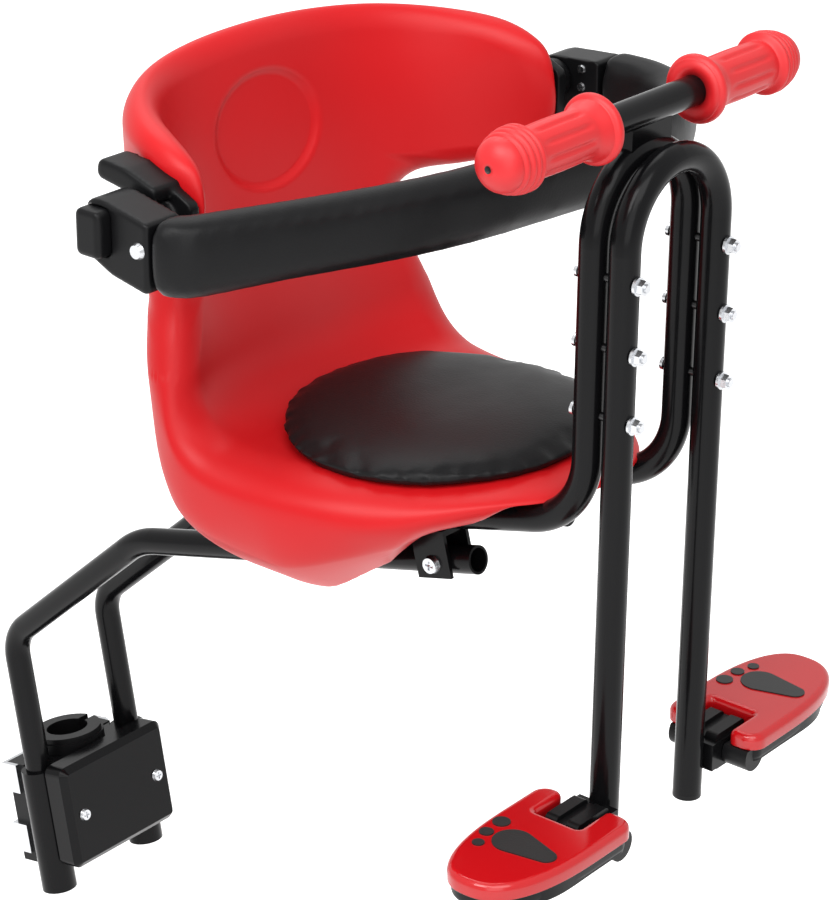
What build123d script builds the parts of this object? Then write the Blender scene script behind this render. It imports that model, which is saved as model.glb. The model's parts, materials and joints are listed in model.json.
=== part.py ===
"""Child's bicycle seat that clamps to the seat post, with its own handlebar and foot rests.

The origin is on the seat post's axis at mid height of the clamp. +Z is up along the front
legs, -Y is the way the bicycle travels and +X is the child's left. Sizes are millimetres.
"""
import os
from math import cos, radians, sin, tan

from build123d import *

os.makedirs("parts", exist_ok=True)

# Tubes
tube_od = 18.0
tube_wall = 1.6
leg_half = 44.6
front_reach = 501.3
arch_gap = 3.0
leg_foot = 157.3
arch_crown = 581.3
bend_radius = 50.0

# Clamp on the seat post
post_lean = 10.3
post_bore = 30.0
bush_wall = 5.0
collar_wall = 6.0
collar_low = -40.0
collar_high = 40.0
split_gap = 4.0
sleeve_ahead = 14.0
sleeve_od = 25.0
sleeve_low = -65.0
sleeve_high = 28.0
cover_half = 51.0
cover_low = -44.0
cover_high = 33.0
cover_front = 46.0
cover_face = 6.0
cover_wall = 4.0
cover_deep = 18.5
cover_bevel = 4.5
cover_screw_half = 36.8
cover_screw_high = -5.5
body_rear = 3.0
body_gap = 0.3
jaw_half = 44.0
jaw_low = -50.0
jaw_high = 27.0
jaw_back = 20.0
jaw_wall = 4.0
strap_thick = 3.0
strap_tall = 22.0
strap_wrap = 12.0
strap_lift = 8.0
jaw_bolt_dia = 5.0

# Rails under the seat
riser_top = 130.0
strut_run = 126.7
strut_rise = 113.0
rail_slope = 14.7
rail_length = 295.0
rail_gap = 29.0
frame_rail_length = 262.0
riser_radius = 30.0
strut_radius = 60.0
bracket_length = 26.0
bracket_wall = 2.5
bracket_front = 27.0
bracket_pitch = 120.0
rail_bolt_dia = 6.0

# Bolts through the two arches
nut_drop = 61.2
nut_pitch = 42.0
nut_rows = 3
arch_bolt_dia = 5.0
nut_hex = 8.0
nut_flange = 11.0
nut_tall = 6.0

# Handlebar and grips
bar_drop = 24.6
grip_start = 46.0
grip_length = 97.0
grip_dia = 29.0
flange_dia = 41.0
flange_thick = 6.0
bulb_dia = 38.0
bulb_length = 27.0
bulb_ribs = 4
grip_flutes = 10
saddle_half = 19.0
saddle_thick = 10.0

# Seat shell, measured from the middle of the pan's top
seat_back_of_legs = 162.0
plate_thick = 3.0
plate_half = 60.0
plate_length = 186.0
channel_half = 63.0
channel_front = 97.0
pan_depth = 27.3
recess_wide = 92.0
recess_tall = 72.0
recess_depth = 3.0
recess_high = 162.0
seat_screw_half = 22.0
seat_screw_pitch = 110.0
seat_screw_dia = 5.0
seat_screw_deep = 12.0

# Cushion
cushion_half_wide = 103.0
cushion_half_long = 96.0
cushion_thick = 15.0
cushion_edge = 4.5

# Guard bar and its pivots
guard_high = 165.0
guard_tall = 50.0
guard_thick = 30.0
guard_half = 208.5
guard_end_back = 33.0
core_tall = 24.0
core_thick = 6.0
core_tongue = 14.0
housing_thick = 27.0
pivot_back = 66.0
pivot_rise = 3.0
pivot_dia = 8.0
pivot_reach = 12.0
bracket_gap = 0.7
boss_dia = 26.0
button_long = 19.0
button_tall = 28.0
button_proud = 9.0
button_seat = 4.5
button_travel = 4.0

# Foot rests
pedal_top = 198.0
pedal_top_thick = 10.0
pedal_base_thick = 9.0
pedal_pin_out = 70.0
pedal_pin_drop = 16.0
pedal_pin_dia = 6.0
pedal_pin_half = 26.0
notch_half = 14.5
notch_out = 94.0
knuckle_out = 88.0
ear_thick = 2.2

# Clearances
run_clear = 0.05
fit_clear = 0.3
bolt_clear = 0.2

# Places that follow from the sizes above
tube_r = tube_od / 2
leg_y = -front_reach
frame_y = leg_y + tube_od + arch_gap
lean = radians(post_lean)
slope = radians(rail_slope)
post = Plane(origin=(0, 0, 0), x_dir=(1, 0, 0), z_dir=(0, sin(lean), cos(lean)))
collar_r = post_bore / 2 + bush_wall + collar_wall


def riser_point(height):
    """Point on a sleeve's axis, as (y, z), at a height along the seat post."""
    y = -sleeve_ahead * cos(lean) + height * sin(lean)
    z = sleeve_ahead * sin(lean) + height * cos(lean)
    return y, z


riser_y, riser_z = riser_point(riser_top)
strut_y = riser_y - strut_run
strut_z = riser_z + strut_rise
rail_y = strut_y - rail_length * cos(slope)
rail_z = strut_z + rail_length * sin(slope)


def mount_rail_z(y):
    """Height of the lower rails' centre line."""
    return strut_z + (strut_y - y) * tan(slope)


def frame_rail_z(y):
    """Height of the upper rails' centre line."""
    return mount_rail_z(y) + rail_gap / cos(slope)


corner_z = frame_rail_z(frame_y)
seat_y = leg_y + seat_back_of_legs
plate_z = frame_rail_z(seat_y) + (tube_r + plate_thick) / cos(slope)
pan_z = plate_z + pan_depth
bar_z = arch_crown + bar_drop
guard_z = pan_z + guard_high
pan = Plane(origin=(0, seat_y, pan_z), x_dir=(1, 0, 0), z_dir=(0, 0, 1))
pan_side = Plane(origin=(0, seat_y, pan_z), x_dir=(0, 1, 0), z_dir=(1, 0, 0))
rails = Plane(origin=(0, seat_y, plate_z), x_dir=(1, 0, 0), z_dir=(0, sin(slope), cos(slope)))


def finish(piece, name):
    """Name a finished piece and write it."""
    piece.part.label = name
    export_step(piece.part, f"parts/{name}.step")


def back_outline(height, half, waist, front, rear, corner_wide, corner_long):
    """Plan outline at a height over the pan: elliptical front, flat back, round rear corners."""
    turn = rear - corner_long
    with BuildSketch(pan.offset(height)) as outline:
        with BuildLine():
            EllipticalCenterArc((0, waist), half, front, 180, arc_size=180)
            Line((half, waist), (half, turn))
            EllipticalCenterArc((half - corner_wide, turn), corner_wide, corner_long, 0, arc_size=90)
            Line((half - corner_wide, rear), (corner_wide - half, rear))
            EllipticalCenterArc((corner_wide - half, turn), corner_wide, corner_long, 90, arc_size=90)
            Line((-half, turn), (-half, waist))
        make_face()
    return outline.sketch


def both_sides():
    """The child's right and left sides as a name and a sign along X."""
    return (("right", -1), ("left", 1))


# Frame tube: arch, legs and upper rails bent from one length
frame_end_y = frame_y + frame_rail_length * cos(slope)
frame_end_z = corner_z - frame_rail_length * sin(slope)
arch_radius = leg_half - 0.5
nut_rise = [arch_crown - nut_drop - row * nut_pitch for row in range(nut_rows)]
bolt_places = [(side * leg_half, rise) for side in (-1, 1) for rise in nut_rise]

with BuildPart() as frame_arch:
    with BuildLine() as frame_path:
        FilletPolyline(
            (-leg_half, frame_end_y, frame_end_z),
            (-leg_half, frame_y, corner_z),
            (-leg_half, frame_y, arch_crown),
            (leg_half, frame_y, arch_crown),
            (leg_half, frame_y, corner_z),
            (leg_half, frame_end_y, frame_end_z),
            radius=[bend_radius, arch_radius, arch_radius, bend_radius],
        )
    with BuildSketch(Plane(frame_path.line @ 0, z_dir=frame_path.line % 0)):
        Circle(tube_r)
        Circle(tube_r - tube_wall, mode=Mode.SUBTRACT)
    sweep(path=frame_path.line)
    with Locations([(x, frame_y, z) for x, z in bolt_places]):
        Cylinder((arch_bolt_dia + bolt_clear) / 2, 2 * tube_od, rotation=(90, 0, 0), mode=Mode.SUBTRACT)
finish(frame_arch, "frame_arch")

# Foot rest tube: arch and two long legs
with BuildPart() as leg_arch:
    with BuildLine() as leg_path:
        FilletPolyline(
            (-leg_half, leg_y, leg_foot),
            (-leg_half, leg_y, arch_crown),
            (leg_half, leg_y, arch_crown),
            (leg_half, leg_y, leg_foot),
            radius=[arch_radius, arch_radius],
        )
    with BuildSketch(Plane(leg_path.line @ 0, z_dir=leg_path.line % 0)):
        Circle(tube_r)
        Circle(tube_r - tube_wall, mode=Mode.SUBTRACT)
    sweep(path=leg_path.line)
    with Locations([(x, leg_y, z) for x, z in bolt_places]):
        Cylinder((arch_bolt_dia + bolt_clear) / 2, 2 * tube_od, rotation=(90, 0, 0), mode=Mode.SUBTRACT)
finish(leg_arch, "leg_arch")

# Bolts and flange nuts that join the arches
bolt_head_tall = 2.4
bolt_tail = 1.5
nut_face = leg_y - tube_r
bolt_seat = frame_y + tube_r
bolt_length = bolt_seat - nut_face + nut_tall + bolt_tail
nut_collar = 1.6

with BuildPart() as arch_bolts:
    for x, z in bolt_places:
        with BuildSketch(Plane((x, bolt_seat, z), z_dir=(0, 1, 0))):
            Circle(nut_hex / 2)
        extrude(amount=bolt_head_tall)
        with BuildSketch(Plane((x, bolt_seat, z), z_dir=(0, -1, 0))):
            Circle(arch_bolt_dia / 2)
        extrude(amount=bolt_length)
finish(arch_bolts, "arch_bolts")

with BuildPart() as arch_nuts:
    for x, z in bolt_places:
        nut_seat = Plane((x, nut_face, z), z_dir=(0, -1, 0))
        with BuildSketch(nut_seat):
            Circle(nut_flange / 2)
            Circle((arch_bolt_dia + bolt_clear) / 2, mode=Mode.SUBTRACT)
        extrude(amount=nut_collar)
        with BuildSketch(nut_seat.offset(nut_collar)):
            RegularPolygon(nut_hex / 2, 6, major_radius=False)
            Circle((arch_bolt_dia + bolt_clear) / 2, mode=Mode.SUBTRACT)
        extrude(amount=nut_tall - nut_collar)
finish(arch_nuts, "arch_nuts")

# Handlebar tube, the saddle that carries it on the frame arch, and two rubber grips
grip_wall_end = 6.0
bar_half = grip_start + grip_length - grip_wall_end

with BuildPart() as handlebar_tube:
    with BuildSketch(Plane((-bar_half, frame_y, bar_z), z_dir=(1, 0, 0))):
        Circle(tube_r)
        Circle(tube_r - tube_wall, mode=Mode.SUBTRACT)
    extrude(amount=2 * bar_half)
finish(handlebar_tube, "handlebar_tube")

with BuildPart() as handlebar_saddle:
    with Locations((0, frame_y, (arch_crown + bar_z) / 2)):
        Box(2 * saddle_half, saddle_thick, bar_drop)
    with Locations((0, frame_y, bar_z)):
        Cylinder(tube_r + run_clear, 3 * saddle_half, rotation=(0, 90, 0), mode=Mode.SUBTRACT)
    with BuildLine() as crown_path:
        FilletPolyline(
            (-leg_half, frame_y, corner_z),
            (-leg_half, frame_y, arch_crown),
            (leg_half, frame_y, arch_crown),
            (leg_half, frame_y, corner_z),
            radius=[arch_radius, arch_radius],
        )
    with BuildSketch(Plane(crown_path.line @ 0, z_dir=crown_path.line % 0)):
        Circle(tube_r + run_clear)
    sweep(path=crown_path.line, mode=Mode.SUBTRACT)
finish(handlebar_saddle, "handlebar_saddle")

rib_pitch = bulb_length * 0.7 / bulb_ribs
rib_deep = 1.6
flute_dia = 5.0
vent_dia = 4.0
bulb_start = grip_length - bulb_length
dome_start = grip_length - bulb_length * 0.3
flute_from = flange_thick * 1.4 + 8
flute_to = bulb_start - 6

for side_name, side in both_sides():
    grip_base = Plane((side * grip_start, frame_y, bar_z), x_dir=(0, side, 0), z_dir=(side, 0, 0))
    grip_cut = Plane(grip_base.origin, x_dir=grip_base.x_dir, z_dir=-grip_base.y_dir)
    with BuildPart() as grip:
        with BuildSketch(grip_cut):
            with BuildLine():
                Polyline(
                    (tube_r + run_clear, 0),
                    (flange_dia / 2, 0),
                    (flange_dia / 2, flange_thick),
                    (grip_dia / 2, flange_thick * 1.4),
                    (grip_dia / 2, bulb_start),
                    (bulb_dia / 2, bulb_start + 2),
                    (bulb_dia / 2, dome_start),
                )
                ThreePointArc(
                    (bulb_dia / 2, dome_start),
                    (bulb_dia * 0.36, grip_length - bulb_length * 0.09),
                    (vent_dia / 2, grip_length),
                )
                Polyline(
                    (vent_dia / 2, grip_length),
                    (vent_dia / 2, grip_length - grip_wall_end),
                    (tube_r + run_clear, grip_length - grip_wall_end),
                    (tube_r + run_clear, 0),
                )
            make_face()
            with Locations([(bulb_dia / 2, bulb_start + 4 + n * rib_pitch) for n in range(bulb_ribs)]):
                Rectangle(2 * rib_deep, rib_pitch * 0.4, mode=Mode.SUBTRACT)
        revolve(axis=Axis(grip_base.origin, grip_base.z_dir))
        with BuildSketch(grip_base.offset(flute_from)):
            with PolarLocations(grip_dia / 2 + flute_dia * 0.28, grip_flutes):
                Circle(flute_dia / 2)
        extrude(amount=flute_to - flute_from, mode=Mode.SUBTRACT)
    finish(grip, f"grip_{side_name}")

# Lower rails, struts and risers: one bent tube on each side, held in the clamp's sleeves
tube_low_y, tube_low_z = riser_point(sleeve_low + 3)
bracket_ys = [rail_y + (bracket_front + n * bracket_pitch) * cos(slope) for n in range(2)]
rail_dir = (0, cos(slope), -sin(slope))

for side_name, side in both_sides():
    x = side * leg_half
    with BuildPart() as mount_tube:
        with BuildLine() as mount_path:
            FilletPolyline(
                (x, rail_y, rail_z),
                (x, strut_y, strut_z),
                (x, riser_y, riser_z),
                (x, tube_low_y, tube_low_z),
                radius=[strut_radius, riser_radius],
            )
        with BuildSketch(Plane(mount_path.line @ 0, z_dir=mount_path.line % 0)):
            Circle(tube_r)
            Circle(tube_r - tube_wall, mode=Mode.SUBTRACT)
        sweep(path=mount_path.line)
        with Locations([(x, y, mount_rail_z(y)) for y in bracket_ys]):
            Cylinder((rail_bolt_dia + bolt_clear) / 2, 2 * tube_od, rotation=(0, 90, 0), mode=Mode.SUBTRACT)
    finish(mount_tube, f"mount_tube_{side_name}")

# Sheet brackets under the upper rails, straddling the lower rails
bracket_in = tube_r + 0.2
bracket_half = bracket_in + bracket_wall
bracket_top = rail_gap - tube_r + 1.2

for side_name, side in both_sides():
    for place, y in zip(("front", "rear"), bracket_ys):
        bracket_mid = Plane((side * leg_half, y, mount_rail_z(y)), x_dir=(-1, 0, 0), z_dir=rail_dir)
        with BuildPart() as rail_bracket:
            with BuildSketch(bracket_mid):
                with Locations((0, bracket_top)):
                    Rectangle(2 * bracket_half, bracket_top + tube_r, align=(Align.CENTER, Align.MAX))
                with Locations((0, bracket_top - bracket_wall - 1.2)):
                    Rectangle(2 * bracket_in, 2 * tube_od, align=(Align.CENTER, Align.MAX), mode=Mode.SUBTRACT)
                with Locations((0, rail_gap)):
                    Circle(tube_r + run_clear, mode=Mode.SUBTRACT)
            extrude(amount=bracket_length / 2, both=True)
            with Locations((side * leg_half, y, mount_rail_z(y))):
                Cylinder(
                    (rail_bolt_dia + bolt_clear) / 2, 3 * tube_od, rotation=(0, 90, 0), mode=Mode.SUBTRACT
                )
        finish(rail_bracket, f"rail_bracket_{place}_{side_name}")

# Screws and nuts through the brackets and the lower rails
screw_head_dia = 12.0
screw_head_tall = 3.4
rail_nut_hex = 10.0
rail_nut_tall = 5.0
slot_wide = 1.6
slot_deep = 1.4
rail_shank = 2 * bracket_half + rail_nut_tall + 1.5

with BuildPart() as rail_bolts:
    for _, side in both_sides():
        for y in bracket_ys:
            seat = Plane(
                (side * (leg_half + bracket_half), y, mount_rail_z(y)), x_dir=(0, 1, 0), z_dir=(side, 0, 0)
            )
            with BuildSketch(seat):
                Circle(rail_bolt_dia / 2)
            extrude(amount=-rail_shank)
            with BuildSketch(seat):
                Circle(screw_head_dia / 2)
            extrude(amount=screw_head_tall, taper=18)
            with BuildSketch(seat.offset(screw_head_tall)):
                Rectangle(screw_head_dia * 0.5, slot_wide)
                Rectangle(slot_wide, screw_head_dia * 0.5)
            extrude(amount=-slot_deep, mode=Mode.SUBTRACT)
finish(rail_bolts, "rail_bolts")

with BuildPart() as rail_nuts:
    for _, side in both_sides():
        for y in bracket_ys:
            seat = Plane(
                (side * (leg_half - bracket_half), y, mount_rail_z(y)), x_dir=(0, 1, 0), z_dir=(-side, 0, 0)
            )
            with BuildSketch(seat):
                RegularPolygon(rail_nut_hex / 2, 6, major_radius=False)
                Circle((rail_bolt_dia + bolt_clear) / 2, mode=Mode.SUBTRACT)
            extrude(amount=rail_nut_tall)
finish(rail_nuts, "rail_nuts")

# Seat post clamp: bush, collar, body, sleeves, cover, jaw, straps and bolts
bush_r = post_bore / 2 + bush_wall
bush_lip_r = collar_r - 1.5
bush_lip = 4.0
collar_top = collar_high - bush_lip
split_wide = 7.0
across = Plane((0, 0, 0), x_dir=(-1, 0, 0), z_dir=post.y_dir)
strap_mids = (jaw_high - strap_tall / 2, jaw_low + strap_lift + strap_tall / 2)
jaw_bolt_half = (collar_r + leg_half - sleeve_od / 2) / 2
jaw_bolt_spots = [(x, w) for x in (-jaw_bolt_half, jaw_bolt_half) for w in strap_mids]
jaw_nut_tall = 4.5
jaw_nut_hex = 8.0
jaw_head_tall = 4.0
nut_room = cover_front - cover_face
body_front = nut_room - jaw_nut_tall - 0.5

with BuildPart() as clamp_bush:
    with BuildSketch(post.offset(collar_low)):
        Circle(bush_r)
    extrude(amount=collar_high - collar_low)
    with BuildSketch(post.offset(collar_top)):
        Circle(bush_lip_r)
    extrude(amount=bush_lip)
    with BuildSketch(post.offset(collar_low)):
        Circle(post_bore / 2)
        with Locations((bush_r, 0)):
            Rectangle(2 * bush_r, split_wide, mode=Mode.ADD)
    extrude(amount=2 * collar_high, mode=Mode.SUBTRACT)
finish(clamp_bush, "clamp_bush")

with BuildPart() as clamp_collar:
    with BuildSketch(post.offset(collar_low)):
        Circle(collar_r)
        Circle(bush_r + run_clear, mode=Mode.SUBTRACT)
        with Locations((collar_r, 0)):
            Rectangle(collar_r, split_wide, mode=Mode.SUBTRACT)
    extrude(amount=collar_top - collar_low)
finish(clamp_collar, "clamp_collar")

with BuildPart() as clamp_body:
    with BuildSketch(post.offset(cover_low + cover_wall + body_gap)):
        with Locations((0, -body_rear)):
            Rectangle(
                2 * (cover_half - cover_wall - body_gap), body_front - body_rear, align=(Align.CENTER, Align.MAX)
            )
        Circle(collar_r + run_clear, mode=Mode.SUBTRACT)
        with Locations((-leg_half, -sleeve_ahead), (leg_half, -sleeve_ahead)):
            Circle(sleeve_od / 2 + run_clear, mode=Mode.SUBTRACT)
    extrude(amount=cover_high - cover_low - 2 * (cover_wall + body_gap))
    with BuildSketch(across.offset(-body_front)):
        with Locations(jaw_bolt_spots):
            Circle((jaw_bolt_dia + bolt_clear) / 2)
    extrude(amount=body_front, mode=Mode.SUBTRACT)
    with BuildSketch(across.offset(-body_front)):
        with Locations((-cover_screw_half, cover_screw_high), (cover_screw_half, cover_screw_high)):
            Circle((seat_screw_dia - 0.8) / 2)
    extrude(amount=7.5, mode=Mode.SUBTRACT)
finish(clamp_body, "clamp_body")

for side_name, side in both_sides():
    with BuildPart() as clamp_sleeve:
        with BuildSketch(post.offset(sleeve_low)):
            with Locations((side * leg_half, -sleeve_ahead)):
                Circle(sleeve_od / 2)
                Circle(tube_r + run_clear, mode=Mode.SUBTRACT)
        extrude(amount=sleeve_high - sleeve_low)
        with BuildSketch(post.offset(sleeve_high)):
            with Locations((side * leg_half, -sleeve_ahead)):
                Rectangle(3, sleeve_od, align=(Align.CENTER, Align.MAX))
        extrude(amount=-40, mode=Mode.SUBTRACT)
    finish(clamp_sleeve, f"clamp_sleeve_{side_name}")

with BuildPart() as clamp_cover:
    cover_mid = (cover_low + cover_high) / 2
    cover_tall = cover_high - cover_low
    with BuildSketch(across.offset(-cover_front)):
        with Locations((0, cover_mid)):
            RectangleRounded(2 * cover_half, cover_tall, 1.4 * cover_bevel)
    extrude(amount=cover_deep)
    chamfer(clamp_cover.faces().sort_by(Axis((0, 0, 0), post.y_dir))[0].edges(), cover_bevel)
    with BuildSketch(across.offset(-nut_room)):
        with Locations((0, cover_mid)):
            Rectangle(2 * (cover_half - cover_wall), cover_tall - 2 * cover_wall)
    extrude(amount=cover_deep, mode=Mode.SUBTRACT)
    with BuildSketch(across.offset(-cover_front)):
        with Locations((-cover_screw_half, cover_screw_high), (cover_screw_half, cover_screw_high)):
            Circle((seat_screw_dia - 0.4) / 2)
    extrude(amount=cover_deep, mode=Mode.SUBTRACT)
finish(clamp_cover, "clamp_cover")

cover_head_dia = 9.0
cover_head_tall = 2.2
with BuildPart() as cover_screws:
    for x in (-cover_screw_half, cover_screw_half):
        with BuildSketch(across.offset(-cover_front)):
            with Locations((x, cover_screw_high)):
                Circle(cover_head_dia / 2)
        extrude(amount=-cover_head_tall, taper=20)
        with BuildSketch(across.offset(-cover_front)):
            with Locations((x, cover_screw_high)):
                Circle((seat_screw_dia - 1) / 2)
        extrude(amount=cover_front - body_front + 7)
        with BuildSketch(across.offset(-cover_front - cover_head_tall)):
            with Locations((x, cover_screw_high)):
                Rectangle(cover_head_dia * 0.55, 1.2)
                Rectangle(1.2, cover_head_dia * 0.55)
        extrude(amount=1.1, mode=Mode.SUBTRACT)
finish(cover_screws, "cover_screws")

with BuildPart() as rear_jaw:
    with BuildSketch(post.offset(jaw_low)):
        with Locations((0, body_rear)):
            Rectangle(2 * jaw_half, jaw_back - body_rear, align=(Align.CENTER, Align.MIN))
        Circle(collar_r + jaw_wall)
        with Locations((0, body_rear)):
            Rectangle(4 * jaw_half, 4 * jaw_back, align=(Align.CENTER, Align.MAX), mode=Mode.SUBTRACT)
        Circle(collar_r + run_clear, mode=Mode.SUBTRACT)
    extrude(amount=jaw_high - jaw_low)
    with BuildSketch(across):
        with Locations(jaw_bolt_spots):
            Circle((jaw_bolt_dia + bolt_clear) / 2)
    extrude(amount=jaw_back, mode=Mode.SUBTRACT)
finish(rear_jaw, "rear_jaw")

for place, mid in zip(("upper", "lower"), strap_mids):
    with BuildPart() as jaw_strap:
        with BuildSketch(post.offset(mid - strap_tall / 2)):
            Circle(collar_r + jaw_wall + strap_thick)
            with Locations((0, jaw_back + strap_thick)):
                Rectangle(2 * (jaw_half + strap_thick), strap_wrap + strap_thick, align=(Align.CENTER, Align.MAX))
            with Locations((0, jaw_back)):
                Rectangle(2 * jaw_half, 4 * collar_r, align=(Align.CENTER, Align.MAX), mode=Mode.SUBTRACT)
            Circle(collar_r + jaw_wall, mode=Mode.SUBTRACT)
        extrude(amount=strap_tall)
        with BuildSketch(across):
            with Locations((-jaw_bolt_half, mid), (jaw_bolt_half, mid)):
                Circle((jaw_bolt_dia + bolt_clear) / 2)
        extrude(amount=jaw_back + 2 * strap_thick, mode=Mode.SUBTRACT)
    finish(jaw_strap, f"jaw_strap_{place}")

with BuildPart() as jaw_bolts:
    for x, w in jaw_bolt_spots:
        with BuildSketch(across.offset(jaw_back + strap_thick)):
            with Locations((x, w)):
                RegularPolygon(jaw_nut_hex / 2, 6, major_radius=False)
        extrude(amount=jaw_head_tall)
        with BuildSketch(across.offset(jaw_back + strap_thick)):
            with Locations((x, w)):
                Circle(jaw_bolt_dia / 2)
        extrude(amount=-(jaw_back + strap_thick + nut_room - 0.5))
finish(jaw_bolts, "jaw_bolts")

with BuildPart() as jaw_nuts:
    for x, w in jaw_bolt_spots:
        with BuildSketch(across.offset(-body_front)):
            with Locations((x, w)):
                RegularPolygon(jaw_nut_hex / 2, 6, major_radius=False)
                Circle((jaw_bolt_dia + bolt_clear) / 2, mode=Mode.SUBTRACT)
        extrude(amount=-jaw_nut_tall)
finish(jaw_nuts, "jaw_nuts")

# Plate on the upper rails and the screws that hold the seat to it
seat_screw_spots = [(x, y) for x in (-seat_screw_half, seat_screw_half) for y in (-0.5, 0.5)]
seat_screw_spots = [(x, y * seat_screw_pitch) for x, y in seat_screw_spots]
seat_head_dia = 10.0
seat_head_tall = 3.0

with BuildPart() as seat_plate:
    with BuildSketch(rails):
        RectangleRounded(2 * plate_half, plate_length, 8)
        with Locations(seat_screw_spots):
            Circle((seat_screw_dia + bolt_clear) / 2, mode=Mode.SUBTRACT)
    extrude(amount=-plate_thick)
finish(seat_plate, "seat_plate")

with BuildPart() as seat_screws:
    for x, y in seat_screw_spots:
        with BuildSketch(rails.offset(-plate_thick)):
            with Locations((x, y)):
                Circle(seat_head_dia / 2)
        extrude(amount=-seat_head_tall, taper=15)
        with BuildSketch(rails.offset(-plate_thick)):
            with Locations((x, y)):
                Circle(seat_screw_dia / 2)
        extrude(amount=plate_thick + seat_screw_deep)
finish(seat_screws, "seat_screws")

# Seat shell: outline at heights over the pan as half width, waist, front, rear and rear corner
skirt_sections = (
    (-92, 82, 34, 22, 80, 52, 40),
    (-52, 122, 36, 70, 132, 74, 56),
    (0, 136, 38, 165, 152, 80, 64),
)
back_sections = (
    (0, 136, 38, 165, 152, 80, 64),
    (100, 151, 50, 200, 166, 112, 96),
    (236, 168, 50, 230, 172, 158, 118),
)
hollow_sections = (
    (-4.5, 94, 38, 18, 96, 62, 45),
    (16, 108, 40, 120, 113, 72, 50),
    (100, 121, 58, 200, 135, 84, 60),
    (240, 139, 80, 300, 156, 105, 72),
)
rim_points = ((-160, 8.5), (50, -0.5), (118, 45), (127, 113), (36, 134), (36, 196), (120, 222), (230, 231))
rim_bends = [80, 60, 14, 18, 28, 120]
back_face = 145.5

with BuildPart() as seat_shell:
    loft(sections=[back_outline(*section) for section in skirt_sections])
    loft(sections=[back_outline(*section) for section in back_sections])
    with BuildSketch(pan_side):
        with BuildLine():
            FilletPolyline(*rim_points, radius=rim_bends)
            Polyline(rim_points[-1], (rim_points[-1][0], -120), (rim_points[0][0], -120), rim_points[0])
        make_face()
    extrude(amount=260, both=True, mode=Mode.INTERSECT)
    loft(sections=[back_outline(*section) for section in hollow_sections], mode=Mode.SUBTRACT)
    with BuildSketch(rails):
        with Locations((0, -channel_front)):
            Rectangle(2 * channel_half, 400, align=(Align.CENTER, Align.MIN))
    extrude(amount=-160, mode=Mode.SUBTRACT)
    for _, side in both_sides():
        x = side * leg_half
        with BuildLine() as bend_path:
            FilletPolyline(
                (x, frame_end_y, frame_end_z),
                (x, frame_y, corner_z),
                (x, frame_y, corner_z + 3 * bend_radius),
                radius=bend_radius,
            )
        with BuildSketch(Plane(bend_path.line @ 0, z_dir=bend_path.line % 0)):
            Circle(tube_r + 1.5)
        sweep(path=bend_path.line, mode=Mode.SUBTRACT)
    with BuildSketch(Plane((0, seat_y, pan_z + recess_high), x_dir=(1, 0, 0), z_dir=(0, 1, 0))):
        Ellipse(recess_wide / 2, recess_tall / 2)
    extrude(amount=back_face + recess_depth, mode=Mode.SUBTRACT)
    with BuildSketch(rails):
        with Locations(seat_screw_spots):
            Circle((seat_screw_dia + 2 * run_clear) / 2)
    extrude(amount=seat_screw_deep + 1, mode=Mode.SUBTRACT)
finish(seat_shell, "seat_shell")

# Cushion lying on the pan
pan_fall = (rim_points[0][1] - rim_points[1][1]) / (rim_points[1][0] - rim_points[0][0])
cushion_lift = rim_points[1][1] + pan_fall * rim_points[1][0] + run_clear
cushion_seat = Plane((0, seat_y, pan_z + cushion_lift), x_dir=(1, 0, 0), z_dir=(0, pan_fall, 1))

with BuildPart() as seat_cushion:
    with BuildSketch(cushion_seat):
        Ellipse(cushion_half_wide, cushion_half_long)
    extrude(amount=cushion_thick)
    fillet(seat_cushion.edges().filter_by(GeomType.ELLIPSE), cushion_edge)
finish(seat_cushion, "seat_cushion")

# Guard bar: padded loop on a flat core, held by a housing at each end
guard = Plane(origin=(0, seat_y, guard_z), x_dir=(1, 0, 0), z_dir=(0, 0, 1))
guard_side = Plane(origin=(0, seat_y, guard_z), x_dir=(0, 1, 0), z_dir=(1, 0, 0))
guard_points = (
    (-guard_half, guard_end_back),
    (-guard_half, guard_end_back - 12),
    (-0.288 * guard_half, -41),
    (0.5755 * guard_half, -66),
    (guard_half, -24),
    (guard_half, guard_end_back),
)
guard_bends = [14, 400, 150, 62]
housing_in = guard_half - housing_thick / 2
housing_out = guard_half + housing_thick / 2
housing_profile = ((33, 19), (33, -23), (62, -17), (81, -8), (81, 24), (70, 27))
plain_profile = ((33, 19), (33, -23), (62, -17), (81, -8), (81, 13), (70, 17))
housing_rounds = [3, 4, 20, 6, 8, 20]
button_mid = (71, 8)
pivot_spot = (pivot_back, pivot_rise)

with BuildPart() as guard_pad:
    with BuildLine(guard) as guard_path:
        FilletPolyline(*guard_points, radius=guard_bends)
    with BuildSketch(Plane(guard_path.line @ 0, x_dir=(1, 0, 0), z_dir=guard_path.line % 0)):
        RectangleRounded(guard_thick, guard_tall, guard_thick * 0.45)
        Rectangle(core_thick + 2 * run_clear, core_tall + 2 * run_clear, mode=Mode.SUBTRACT)
    sweep(path=guard_path.line)
finish(guard_pad, "guard_pad")

with BuildPart() as guard_core:
    with BuildLine(guard) as core_path:
        FilletPolyline(
            (-guard_half, guard_end_back + core_tongue),
            *guard_points[1:-1],
            (guard_half, guard_end_back + core_tongue),
            radius=guard_bends,
        )
    with BuildSketch(Plane(core_path.line @ 0, x_dir=(1, 0, 0), z_dir=core_path.line % 0)):
        Rectangle(core_thick, core_tall)
    sweep(path=core_path.line)
finish(guard_core, "guard_core")

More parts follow.
